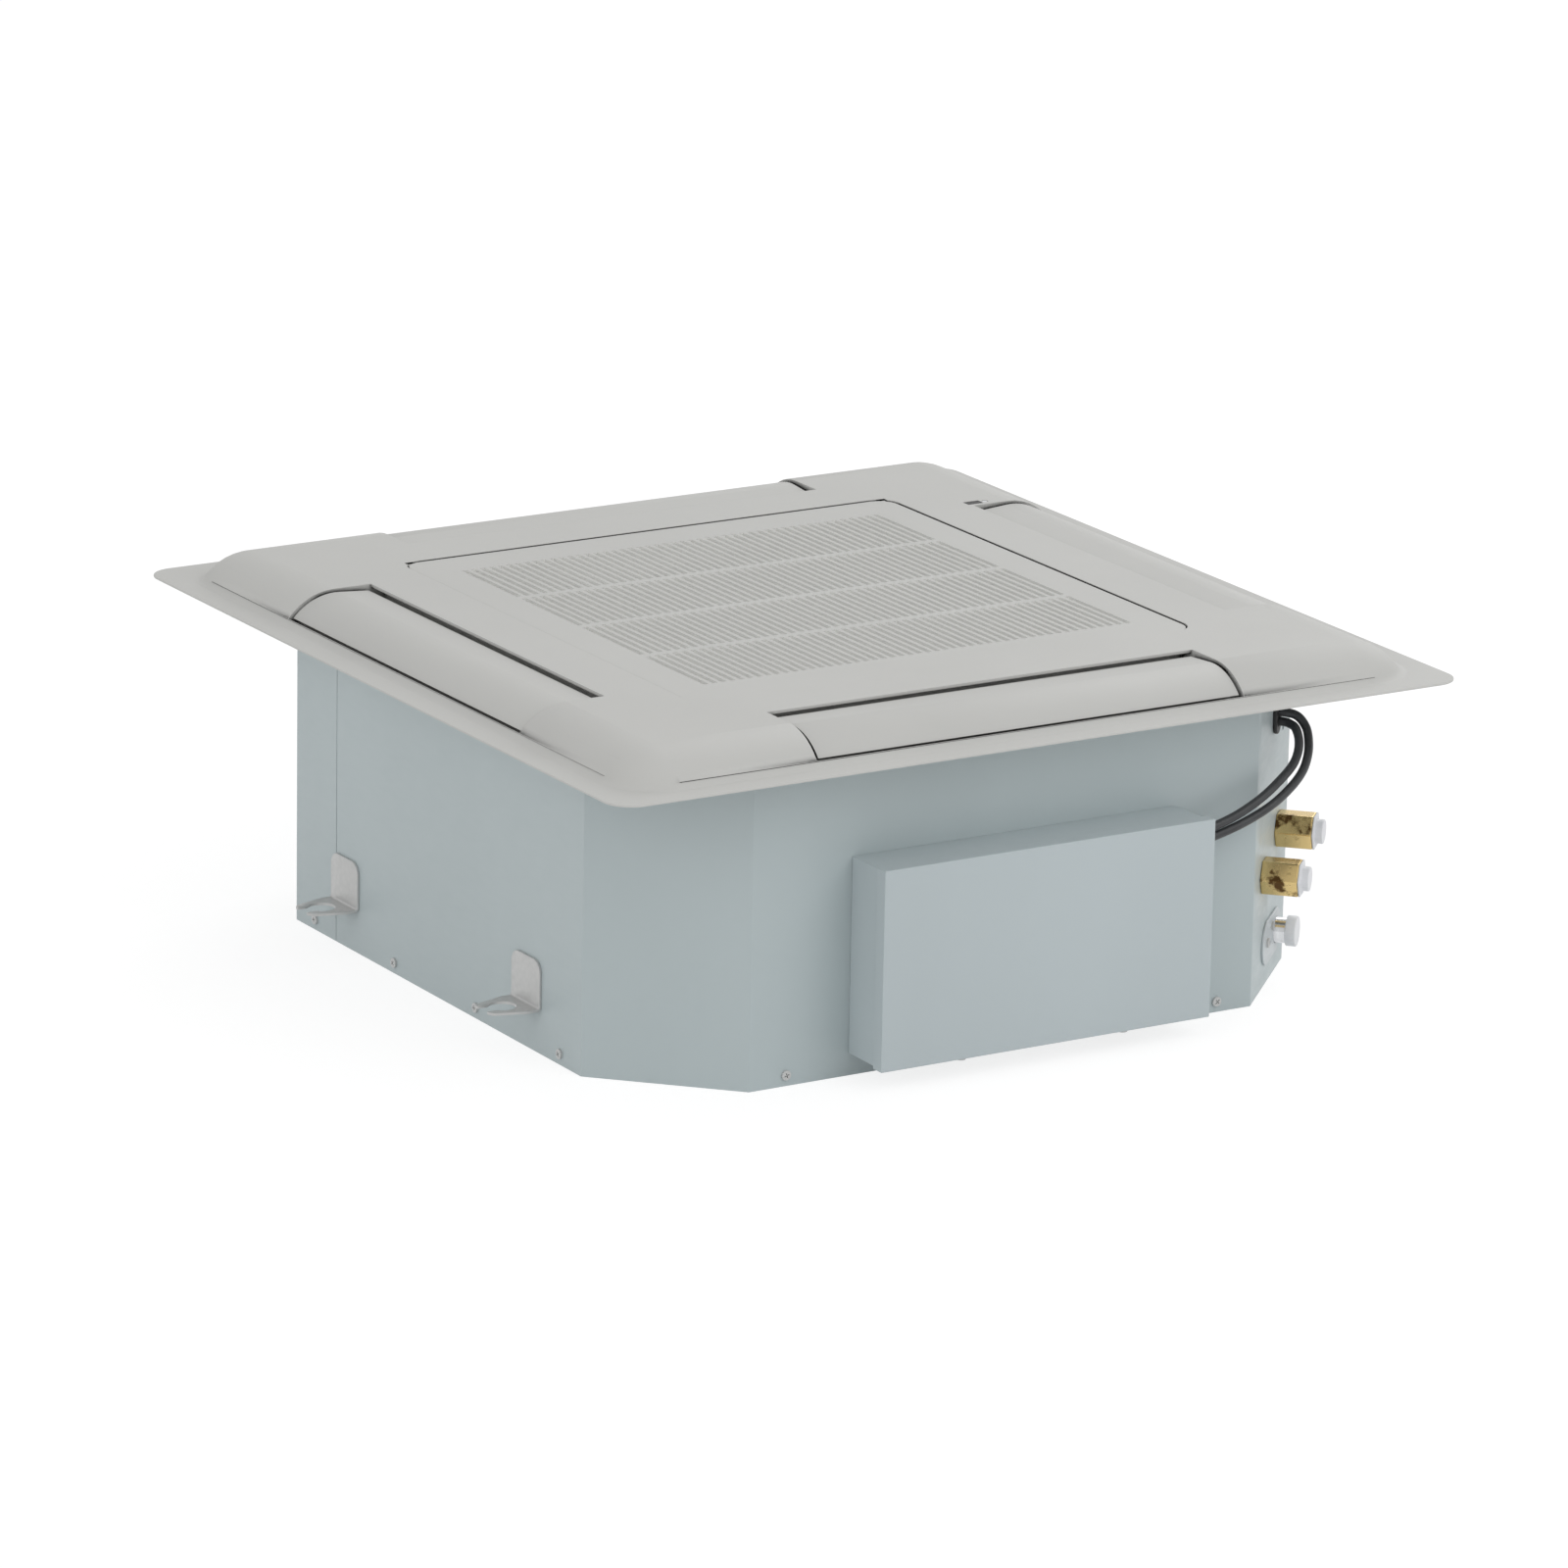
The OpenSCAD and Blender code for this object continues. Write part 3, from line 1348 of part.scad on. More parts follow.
module ducts() {
  at_outlets() {
    translate([-$length / 2, -duct_in - duct_w, -over]) cube([$length, duct_w, panel_h - wall + over]);
    translate([-$length / 2, -mouth_out, rim_t])
      cube([$length, mouth_out - duct_in, panel_h - wall - rim_t]);
    translate([-$length / 2, -mouth_out, rim_t]) cube([$length, mouth_w, panel_h]);
    translate([-$length / 2 - wall - over, -pivot_at, pivot_z])
      bar_x(0, $length + 2 * (wall + over), pin_r + run_gap);
  }
}

// places its children at the receiver, beside the end of the right outlet
module at_receiver() {
  translate([receiver_out, short_shift + short_outlet / 2 + receiver_past, case_h]) children();
}

module hinge_lugs() {
  for (side = [-1, 1]) translate([side * (well_half - hinge_lug / 2 + wall / 2), hinge_y, hinge_z - wall])
    translate([-hinge_lug / 2 - wall / 2, -wall - hinge_in, 0])
      cube([hinge_lug + wall, well_half + 2 * wall + hinge_in - hinge_y,
      panel_h - wall / 2 - hinge_z + wall]);
}

module panel_frame() {
  color("#c4c4c1") translate([0, 0, case_h]) {
    difference() {
      union() {
        difference() {
          raised_body(0);
          translate([0, 0, -over]) raised_body(wall - over);
          raised_body(wall);
        }
        linear_extrude(height = rim_t) difference() {
          rounded_square(panel_w / 2, rim_corner_r);
          rounded_square(mouth_out - 2 * wall, edge_r - foot_r);
        }
        intersection() {
          raised_body(0);
          duct_blocks();
        }
        translate([0, 0, ledge_z - wall]) linear_extrude(height = panel_h - wall / 2 - ledge_z + wall)
          rounded_square(well_half + wall, well_corner_r + wall);
        linear_extrude(height = ledge_z) rounded_square(inlet_half + wall, well_corner_r / 2 + wall);
        hinge_lugs();
      }
      translate([0, 0, -over]) linear_extrude(height = seat_h + over) octagon(-seat_gap);
      translate([0, 0, ledge_z]) linear_extrude(height = panel_h)
        rounded_square(well_half, well_corner_r);
      translate([0, 0, -over]) linear_extrude(height = panel_h)
        rounded_square(inlet_half, well_corner_r / 2);
      ducts();
      translate([0, hinge_y, hinge_z]) bar_x(-well_half - wall, well_half + wall, hinge_r + run_gap);
      for (side = [0, 1]) mirror([side, 0, 0]) translate([0, hinge_y, hinge_z])
        bar_x(well_half - well_corner_r, well_half - hinge_lug / 2, turning_r);
      translate([0, 0, -case_h]) at_receiver() {
        cube([window_w + 2 * fit_gap, window_h + 2 * fit_gap, 4 * panel_h], center = true);
        translate([button_off, 0, 0]) cylinder(h = 2 * panel_h, r = button_r + 2 * run_gap);
      }
    }
    for (turn = [0:90:270]) rotate([0, 0, turn]) difference() {
      translate([inlet_half - lug_w, inlet_half - lug_w, 0])
        cube([lug_w + wall / 2, lug_w + wall / 2, lug_t]);
      translate([fix_at, fix_at, -over]) cylinder(h = lug_t + 2 * over, r = fix_r + fit_gap);
      translate([0, 0, -over]) linear_extrude(height = seat_h + over) difference() {
        octagon(-seat_gap);
        rounded_square(inlet_half - run_gap, well_corner_r / 2);
      }
    }
  }
}

// flaps, drawn shut with the pivot at the origin, then tilted
module flap_outside(inset) {
  translate([side_mid - pivot_at, panel_h - flap_sink - pivot_z - flap_r]) {
    circle(r = flap_r - inset, $fn = 180);
    rotate(flap_fall) translate([-edge_r, 0]) square([edge_r, flap_r - inset]);
  }
}

module flap_section() {
  top = panel_h - flap_sink - pivot_z;
  intersection() {
    difference() {
      flap_outside(0);
      difference() {
        flap_outside(flap_t);
        translate([flap_in - pivot_at - over, -edge_r]) square([flap_t + over, 2 * edge_r]);
      }
    }
    union() {
      translate([flap_in - pivot_at, top - 3 * flap_t]) square([side_mid - flap_in, edge_r]);
      translate([side_mid - pivot_at, flap_lip_z - pivot_z]) square([edge_r, edge_r]);
    }
  }
}

// the outline of a cheek: the room under the flap's skin, down to the pin's boss
module cheek_section() {
  top = panel_h - flap_sink - pivot_z;
  circle(r = boss_r);
  intersection() {
    polygon([[-boss_r, 0], [boss_r, 0], [edge_r / 2, top / 2], [edge_r / 2, edge_r],
      [flap_in - pivot_at + flap_t, edge_r], [flap_in - pivot_at + flap_t, top - 3 * flap_t]]);
    flap_outside(flap_t / 2);
  }
}

module flap(length, shift, turn) {
  half = length / 2 - flap_end_gap;
  color("#c4c4c1") rotate([0, 0, turn]) translate([shift, -pivot_at, case_h + pivot_z])
    rotate([-flap_tilt, 0, 0]) {
    for (side = [0, 1]) mirror([side, 0, 0]) {
      translate([half - cheek_t, 0, 0]) rotate([90, 0, -90]) mirror([0, 0, 1])
        linear_extrude(height = cheek_t) cheek_section();
      bar_x(half - cheek_t, half + flap_end_gap + wall + side * pin_in_motor, pin_r);
    }
    translate([-half, 0, 0]) rotate([90, 0, -90]) mirror([0, 0, 1]) linear_extrude(height = 2 * half)
      flap_section();
  }
}

module flap_front() {
  flap(long_outlet, long_shift, 0);
}

module flap_right() {
  flap(short_outlet, short_shift, 90);
}

module flap_rear() {
  flap(long_outlet, -long_shift, 180);
}

module flap_left() {
  flap(short_outlet, 0, 270);
}

// a flap motor on the outside of its outlet's end wall
module flap_motor(length, shift, turn) {
  color("#e3e4e2") rotate([0, 0, turn])
    translate([shift - length / 2 - wall, -pivot_at, case_h + pivot_z]) difference() {
    union() {
      bar_x(-step_len, 0, step_r);
      translate([-step_len - step_plug_len, -step_plug_w / 2, -step_r / 2])
        cube([step_len, step_plug_w, step_r]);
    }
    bar_x(-pin_in_motor - over, over, pin_r + run_gap);
  }
}

module flap_motor_front() {
  flap_motor(long_outlet, long_shift, 0);
}

module flap_motor_right() {
  flap_motor(short_outlet, short_shift, 90);
}

module flap_motor_rear() {
  flap_motor(long_outlet, -long_shift, 180);
}

module flap_motor_left() {
  flap_motor(short_outlet, 0, 270);
}

// receiver and push button
module receiver() {
  color("#17181a") at_receiver() difference() {
    union() {
      translate([-window_w / 2, -window_h / 2, panel_h - receiver_d])
        cube([window_w, window_h, receiver_d - fit_gap]);
      translate([-window_w / 2 - wall, -window_h / 2 - fit_gap, panel_h - receiver_d])
        cube([window_w + button_off, window_h + 2 * fit_gap, wall]);
    }
    translate([button_off, 0, panel_h - receiver_d - over])
      cylinder(h = receiver_d, r = button_r + 2 * run_gap);
  }
}

module push_button() {
  color("#f4f4f4") at_receiver() translate([button_off, 0, panel_h - receiver_d]) {
    cylinder(h = receiver_d - fit_gap, r = button_r);
    translate([0, 0, receiver_d - wall - fit_gap - button_rim])
      cylinder(h = button_rim, r = button_r + button_rim);
  }
}

// return grille with its slots in bands, hinged along its rear edge
// hooks on two sides of the filter, with a rest that the filter's frame lies against
module filter_hooks() {
  for (turn = [0, 180], x = [-hook_at, hook_at]) rotate([0, 0, turn])
    translate([filter_half, x - hook_w / 2, filter_top - filter_t]) {
    translate([fit_gap, 0, -fit_gap - hook_t])
      cube([hook_t, hook_w, grille_top - filter_top + filter_t + hook_t - grille_t / 2]);
    translate([-hook_t, 0, -fit_gap - hook_t]) cube([2 * hook_t, hook_w, hook_t]);
    translate([-filter_rim, 0, filter_t + fit_gap])
      cube([filter_rim + hook_t, hook_w, grille_top - filter_top - grille_t / 2 - fit_gap]);
  }
}

module return_grille() {
  color("#c4c4c1") translate([0, 0, case_h]) {
    difference() {
      union() {
        translate([0, 0, grille_top - grille_t]) linear_extrude(height = grille_t)
          rounded_square(grille_half, well_corner_r - grille_gap);
        translate([0, 0, ledge_z + edge_clear])
          linear_extrude(height = grille_top - grille_t / 2 - ledge_z - edge_clear) difference() {
          rounded_square(grille_half, well_corner_r - grille_gap);
          rounded_square(grille_half - wall, well_corner_r - grille_gap - wall);
        }
        translate([-slot_field / 2 - field_margin, -bands * band_step / 2 - field_margin,
          grille_top - field_t])
          cube([slot_field + 2 * field_margin, bands * band_step + 2 * field_margin,
            field_t - grille_t / 2]);
        filter_hooks();
      }
      for (i = [0:slots - 1], j = [0:bands - 1])
        translate([(i - (slots - 1) / 2) * slot_pitch - slot_w / 2,
          (j - bands / 2) * band_step + band_rib / 2, grille_top - field_t - over])
          cube([slot_w, slot_len, field_t + 2 * over]);
    }
    for (side = [0, 1]) mirror([side, 0, 0]) translate([0, hinge_y, hinge_z])
      bar_x(grille_half - well_corner_r + wall, grille_half + grille_gap + wall / 2, hinge_r);
  }
}

module air_filter() {
  half = filter_half;
  cell = (2 * half - filter_rim) / filter_cells;
  top = case_h + filter_top;
  color("#3f4448") {
    translate([0, 0, top - filter_t]) linear_extrude(height = filter_t) difference() {
      square(2 * half, center = true);
      square(2 * (half - filter_rim), center = true);
    }
    translate([0, 0, top - filter_t]) linear_extrude(height = filter_t / 2)
      for (i = [1:filter_cells - 1], turn = [0, 90]) rotate([0, 0, turn])
        translate([(i - filter_cells / 2) * cell - filter_bar / 2, -half + filter_rim / 2])
          square([filter_bar, 2 * half - filter_rim]);
    translate([0, 0, top - filter_t / 2]) linear_extrude(height = mesh_t)
      square(2 * half - filter_rim, center = true);
  }
}

back_plate();
front_shell();
rear_shell();
casing_screws();
hanger_left_front();
hanger_left_rear();
hanger_right_front();
hanger_right_rear();
electrical_box();
box_cover();
terminal_block();
control_board();
inner_lead();
outer_lead();
lead_grommet();
supply_end();
return_end();
supply_plug();
return_plug();
drain_plate();
drain_spigot();
drain_cap();
foam_lining();
drip_tray();
panel_seal();
inlet_ring();
coil_fins();
coil_bends();
supply_header();
return_header();
coil_baffle();
condensate_pump();
pump_hose();
float_guide();
pump_float();
fan_motor();
motor_mounts();
motor_nuts();
motor_shaft();
impeller();
impeller_nut();
strap_left_front();
strap_right_front();
strap_right_rear();
strap_left_rear();
panel_screws();
panel_frame();
flap_motor_front();
flap_motor_right();
flap_motor_rear();
flap_motor_left();
receiver();
push_button();
flap_front();
flap_right();
flap_rear();
flap_left();
return_grille();
air_filter();
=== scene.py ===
import bpy
import bmesh
import json
import math
from mathutils import Matrix, Vector


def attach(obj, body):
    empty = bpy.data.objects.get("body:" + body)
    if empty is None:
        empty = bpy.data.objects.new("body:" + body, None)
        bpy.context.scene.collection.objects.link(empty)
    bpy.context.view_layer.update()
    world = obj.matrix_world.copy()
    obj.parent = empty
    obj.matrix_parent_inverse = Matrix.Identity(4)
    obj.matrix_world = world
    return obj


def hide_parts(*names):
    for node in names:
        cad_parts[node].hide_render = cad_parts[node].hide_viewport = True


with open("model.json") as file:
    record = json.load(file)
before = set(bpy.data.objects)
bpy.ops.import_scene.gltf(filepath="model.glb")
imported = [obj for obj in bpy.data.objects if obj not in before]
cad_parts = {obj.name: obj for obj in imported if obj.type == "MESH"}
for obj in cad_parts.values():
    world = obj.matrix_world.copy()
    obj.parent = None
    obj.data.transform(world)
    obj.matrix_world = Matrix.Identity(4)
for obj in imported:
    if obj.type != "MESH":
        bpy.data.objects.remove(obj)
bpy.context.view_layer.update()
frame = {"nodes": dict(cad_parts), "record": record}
nodes = frame["nodes"]
print("frame loaded:", len(nodes), "nodes")

mm = 0.001


# a screen tone from 0 to 255 as the linear colour that a shader takes
def tone(red, green, blue):
    def straight(value):
        value = value / 255
        return value / 12.92 if value <= 0.04045 else ((value + 0.055) / 1.055) ** 2.4
    return (straight(red), straight(green), straight(blue), 1)


# node helpers
def startFinish(name):
    finish = bpy.data.materials.new(name)
    finish.use_nodes = True
    tree = finish.node_tree
    tree.nodes.clear()
    shader = tree.nodes.new("ShaderNodeBsdfPrincipled")
    output = tree.nodes.new("ShaderNodeOutputMaterial")
    tree.links.new(shader.outputs["BSDF"], output.inputs["Surface"])
    return finish, tree, shader, objectPlace(tree)


def objectPlace(tree):
    return tree.nodes.new("ShaderNodeTexCoord").outputs["Object"]


def stretched(tree, place, along):
    mapping = tree.nodes.new("ShaderNodeMapping")
    mapping.inputs["Scale"].default_value = along
    tree.links.new(place, mapping.inputs["Vector"])
    return mapping.outputs["Vector"]


def cloud(tree, place, scale, detail, rough=0.5):
    noise = tree.nodes.new("ShaderNodeTexNoise")
    noise.inputs["Scale"].default_value = scale
    noise.inputs["Detail"].default_value = detail
    noise.inputs["Roughness"].default_value = rough
    tree.links.new(place, noise.inputs["Vector"])
    return noise.outputs["Fac"]


def cells(tree, place, scale):
    voronoi = tree.nodes.new("ShaderNodeTexVoronoi")
    voronoi.feature = "F1"
    voronoi.inputs["Scale"].default_value = scale
    tree.links.new(place, voronoi.inputs["Vector"])
    return voronoi.outputs["Distance"]


def bands(tree, place, direction, scale):
    wave = tree.nodes.new("ShaderNodeTexWave")
    wave.wave_type = "BANDS"
    wave.bands_direction = direction
    wave.inputs["Scale"].default_value = scale
    tree.links.new(place, wave.inputs["Vector"])
    return wave.outputs["Fac"]


def larger(tree, first, second):
    both = tree.nodes.new("ShaderNodeMath")
    both.operation = "MAXIMUM"
    tree.links.new(first, both.inputs[0])
    tree.links.new(second, both.inputs[1])
    return both.outputs["Value"]


def between(tree, factor, low, high, start=0.3, end=0.7):
    spread = tree.nodes.new("ShaderNodeMapRange")
    spread.inputs["From Min"].default_value = start
    spread.inputs["From Max"].default_value = end
    spread.inputs["To Min"].default_value = low
    spread.inputs["To Max"].default_value = high
    tree.links.new(factor, spread.inputs["Value"])
    return spread.outputs["Result"]


def mixed(tree, factor, first, second):
    mix = tree.nodes.new("ShaderNodeMix")
    mix.data_type = "RGBA"
    tree.links.new(factor, mix.inputs["Factor"])
    for value, socket in ((first, "A"), (second, "B")):
        if isinstance(value, tuple):
            mix.inputs[socket].default_value = value
        else:
            tree.links.new(value, mix.inputs[socket])
    return mix.outputs["Result"]


def twoTones(tree, shader, factor, first, second, start=0.3, end=0.7):
    ramp = tree.nodes.new("ShaderNodeValToRGB")
    ramp.color_ramp.elements[0].position = start
    ramp.color_ramp.elements[0].color = first
    ramp.color_ramp.elements[1].position = end
    ramp.color_ramp.elements[1].color = second
    tree.links.new(factor, ramp.inputs["Fac"])
    tree.links.new(ramp.outputs["Color"], shader.inputs["Base Color"])


def roughness(tree, shader, factor, low, high, start=0.3, end=0.7):
    spread = between(tree, factor, low, high, start, end)
    tree.links.new(spread, shader.inputs["Roughness"])


def relief(tree, shader, height, depth, strength, under=None):
    bump = tree.nodes.new("ShaderNodeBump")
    bump.inputs["Distance"].default_value = depth
    bump.inputs["Strength"].default_value = strength
    tree.links.new(height, bump.inputs["Height"])
    if under is not None:
        tree.links.new(under, bump.inputs["Normal"])
    tree.links.new(bump.outputs["Normal"], shader.inputs["Normal"])
    return bump.outputs["Normal"]


# finishes: a noise is its scale, detail and roughness, a relief its depth in metres and strength,
# and edges are the two readings of a pattern between which a tone or a roughness changes

# satin moulding: two close tones, a fine spark-eroded grain and a slow waviness
moulding = {"mottle": (9, 3), "grainDetail": 2, "grainStrength": 0.6, "shinier": 0.05,
            "matter": 0.07, "waves": (14, 1), "waveRelief": (0.0001, 0.35)}


def mouldedPlastic(name, light, dark, rough=0.42, grain=900, depth=0.00003, sheen=0.5):
    finish, tree, shader, place = startFinish(name)
    twoTones(tree, shader, cloud(tree, place, *moulding["mottle"]), dark, light)
    fine = cloud(tree, place, grain, moulding["grainDetail"])
    roughness(tree, shader, fine, rough - moulding["shinier"], rough + moulding["matter"])
    waves = cloud(tree, place, *moulding["waves"])
    slow = relief(tree, shader, waves, *moulding["waveRelief"])
    relief(tree, shader, fine, depth, moulding["grainStrength"], slow)
    shader.inputs["Specular IOR Level"].default_value = sheen
    return finish


# painted shade: where surfaces of the panel face each other within the reach, in millimetres,
# they are painted black with a dull shine; the slots of the grille get painted light instead, a
# pale colour inside a square with a fading border
paintedGapShade = {"reach": 8, "samples": 12, "shut": 0.5, "open": 0.68, "shine": 0.02, "border": 1,
        "shadeBlack": (0.004, 0.004, 0.004, 1), "pale": tone(244, 244, 241)}


# 1 inside a square about the middle, of this half width in millimetres, and 0 outside it
def insideSquare(tree, half):
    spot = tree.nodes.new("ShaderNodeSeparateXYZ")
    tree.links.new(objectPlace(tree), spot.inputs["Vector"])
    sizes = []
    for axis in ("X", "Y"):
        size = tree.nodes.new("ShaderNodeMath")
        size.operation = "ABSOLUTE"
        tree.links.new(spot.outputs[axis], size.inputs[0])
        sizes.append(size.outputs["Value"])
    return between(tree, larger(tree, *sizes), 1, 0, half * mm, (half + paintedGapShade["border"]) * mm)


# painted shade: ambient occlusion finds the gaps and recesses, and black is mixed into their
# colour
def paintShadeInGaps(tree, shader, slots):
    closed = tree.nodes.new("ShaderNodeAmbientOcclusion")
    closed.samples = paintedGapShade["samples"]
    closed.inputs["Distance"].default_value = paintedGapShade["reach"] * mm
    openness = between(tree, closed.outputs["AO"], 0, 1, paintedGapShade["shut"], paintedGapShade["open"])
    base = shader.inputs["Base Color"].links[0].from_socket
    colour = mixed(tree, openness, paintedGapShade["shadeBlack"], base)
    # painted light: inside the square of the grille's slots, the occluded slot walls get a pale
    # colour instead of black
    if slots is not None:
        paintedSlotLight = mixed(tree, openness, paintedGapShade["pale"], base)
        colour = mixed(tree, insideSquare(tree, slots), colour, paintedSlotLight)
    tree.links.new(colour, shader.inputs["Base Color"])
    # painted shade on the reflection: the specular level falls to a dull shine in the same places
    shine = shader.inputs["Specular IOR Level"]
    tree.links.new(between(tree, openness, paintedGapShade["shine"], shine.default_value, 0, 1), shine)


# the room panel's moulding, flatter than the others, with painted shade in its gaps; slots is
# the half width of a slotted field whose slot walls get painted light
panel = {"light": tone(203, 203, 200), "dark": tone(200, 200, 197), "rough": 0.6, "sheen": 0.4,
         "slots": 200}


def panelMoulding(name, slots=None):
    finish = mouldedPlastic(name, panel["light"], panel["dark"], panel["rough"],
                            sheen=panel["sheen"])
    tree = finish.node_tree
    shader = next(part for part in tree.nodes if part.bl_idname == "ShaderNodeBsdfPrincipled")
    paintShadeInGaps(tree, shader, slots)
    return finish


# coil-coated sheet: faint roller streaks, orange peel and small handling marks
coat = {"streaks": (6, 4), "streakStretch": (1, 1, 0.35), "streakEdges": (0.32, 0.68),
        "marks": (60, 5, 0.65), "markStretch": (1, 1, 4), "shinier": 0.06, "matter": 0.1,
        "peel": (420, 2), "peelRelief": (0.00004, 0.35), "waves": (5, 1),
        "waveRelief": (0.0005, 0.25), "sheen": 0.45}


def coatedSheet(name, light, dark, rough=0.4):
    finish, tree, shader, place = startFinish(name)
    streaks = cloud(tree, stretched(tree, place, coat["streakStretch"]), *coat["streaks"])
    twoTones(tree, shader, streaks, dark, light, *coat["streakEdges"])
    marks = cloud(tree, stretched(tree, place, coat["markStretch"]), *coat["marks"])
    roughness(tree, shader, marks, rough - coat["shinier"], rough + coat["matter"])
    peel = relief(tree, shader, cloud(tree, place, *coat["peel"]), *coat["peelRelief"])
    relief(tree, shader, cloud(tree, place, *coat["waves"]), *coat["waveRelief"], peel)
    shader.inputs["Specular IOR Level"].default_value = coat["sheen"]
    return finish


# zinc plating: small pale spangles with a soft shine
zinc = {"light": tone(199, 199, 198), "dark": tone(195, 196, 195), "spangle": 260,
        "toneEdges": (0.1, 0.9), "rough": 0.36, "spread": 0.08, "roughEdges": (0.1, 0.8),
        "grain": (700, 3), "grainRelief": (0.00001, 0.25), "metal": 0.3}


def zincPlate(name):
    finish, tree, shader, place = startFinish(name)
    crystals = cells(tree, place, zinc["spangle"])
    twoTones(tree, shader, crystals, zinc["light"], zinc["dark"], *zinc["toneEdges"])
    roughness(tree, shader, crystals, zinc["rough"] - zinc["spread"],
              zinc["rough"] + zinc["spread"], *zinc["roughEdges"])
    relief(tree, shader, cloud(tree, place, *zinc["grain"]), *zinc["grainRelief"])
    shader.inputs["Metallic"].default_value = zinc["metal"]
    return finish


# machined brass: turning lines across, with dark brown patches at random
brass = {"brownPatch": tone(92, 66, 34), "bright": tone(216, 190, 132), "patches": (62, 5, 0.6),
         "toneEdges": (0.36, 0.44), "rough": (0.45, 0.24), "roughEdges": (0.36, 0.46),
         "lines": (900, 3), "lineStretch": (1, 1, 0.3), "lineRelief": (0.00004, 0.6),
         "metal": 0.9}


def turnedBrass(name):
    finish, tree, shader, place = startFinish(name)
    patches = cloud(tree, place, *brass["patches"])
    twoTones(tree, shader, patches, brass["brownPatch"], brass["bright"], *brass["toneEdges"])
    roughness(tree, shader, patches, *brass["rough"], *brass["roughEdges"])
    lines = cloud(tree, stretched(tree, place, brass["lineStretch"]), *brass["lines"])
    relief(tree, shader, lines, *brass["lineRelief"])
    shader.inputs["Metallic"].default_value = brass["metal"]
    return finish


# drawn metal tube: fine streaks along its length
tube = {"streaks": (260, 3), "stretch": (1, 1, 0.08), "matter": 0.1, "relief": (0.00002, 0.4),
        "metal": 1.0}


def drawnTube(name, light, dark, rough):
    finish, tree, shader, place = startFinish(name)
    streaks = cloud(tree, stretched(tree, place, tube["stretch"]), *tube["streaks"])
    twoTones(tree, shader, streaks, dark, light)
    roughness(tree, shader, streaks, rough, rough + tube["matter"])
    relief(tree, shader, streaks, *tube["relief"])
    shader.inputs["Metallic"].default_value = tube["metal"]
    return finish


# matt rubber and cable jacket: fine pitting and chalky variation
rubber = {"chalk": (70, 4), "grainDetail": 3, "grainStrength": 0.6, "spread": 0.08}


def softRubber(name, light, dark, rough, grain=1200, depth=0.00005):
    finish, tree, shader, place = startFinish(name)
    twoTones(tree, shader, cloud(tree, place, *rubber["chalk"]), dark, light)
    fine = cloud(tree, place, grain, rubber["grainDetail"])
    roughness(tree, shader, fine, rough - rubber["spread"], rough + rubber["spread"])
    relief(tree, shader, fine, depth, rubber["grainStrength"])
    return finish


# expanded foam: packed beads a few millimetres wide, their borders darker with painted shade
# in the sunken creases between them
foam = {"bead": 260, "pale": tone(238, 238, 235), "shade": tone(208, 209, 206),
        "toneEdges": (0.2, 0.75), "rough": (0.6, 0.85), "roughEdges": (0.1, 0.7),
        "relief": (-0.0004, 0.7)}


def beadFoam(name):
    finish, tree, shader, place = startFinish(name)
    beads = cells(tree, place, foam["bead"])
    twoTones(tree, shader, beads, foam["pale"], foam["shade"], *foam["toneEdges"])
    roughness(tree, shader, beads, *foam["rough"], *foam["roughEdges"])
    relief(tree, shader, beads, *foam["relief"])
    return finish


# aluminium fins stand side by side, so both straight runs show fine upright lines; the dark
# bands are painted shade in the gaps between the fins
fins = {"lines": 210, "stretch": (1, 1, 0), "dark": tone(96, 99, 101),
        "light": tone(214, 216, 218), "toneEdges": (0.25, 0.6), "rough": (0.3, 0.5),
        "relief": (0.0006, 0.9), "metal": 0.7}


def finStack(name):
    finish, tree, shader, place = startFinish(name)
    lines = bands(tree, stretched(tree, place, fins["stretch"]), "DIAGONAL", fins["lines"])
    twoTones(tree, shader, lines, fins["dark"], fins["light"], *fins["toneEdges"])
    roughness(tree, shader, lines, *fins["rough"], 0, 1)
    relief(tree, shader, lines, *fins["relief"])
    shader.inputs["Metallic"].default_value = fins["metal"]
    return finish


# filter: a woven mesh of dark threads
weave = {"threads": 190, "dark": tone(88, 90, 91), "light": tone(152, 154, 153),
         "toneEdges": (0.5, 0.95), "rough": (0.8, 0.55), "roughEdges": (0.3, 1),
         "relief": (0.0003, 0.8)}


def filterWeave(name):
    finish, tree, shader, place = startFinish(name)
    threads = larger(tree, bands(tree, place, "X", weave["threads"]),
                     bands(tree, place, "Y", weave["threads"]))
    twoTones(tree, shader, threads, weave["dark"], weave["light"], *weave["toneEdges"])
    roughness(tree, shader, threads, *weave["rough"], *weave["roughEdges"])
    relief(tree, shader, threads, *weave["relief"])
    return finish


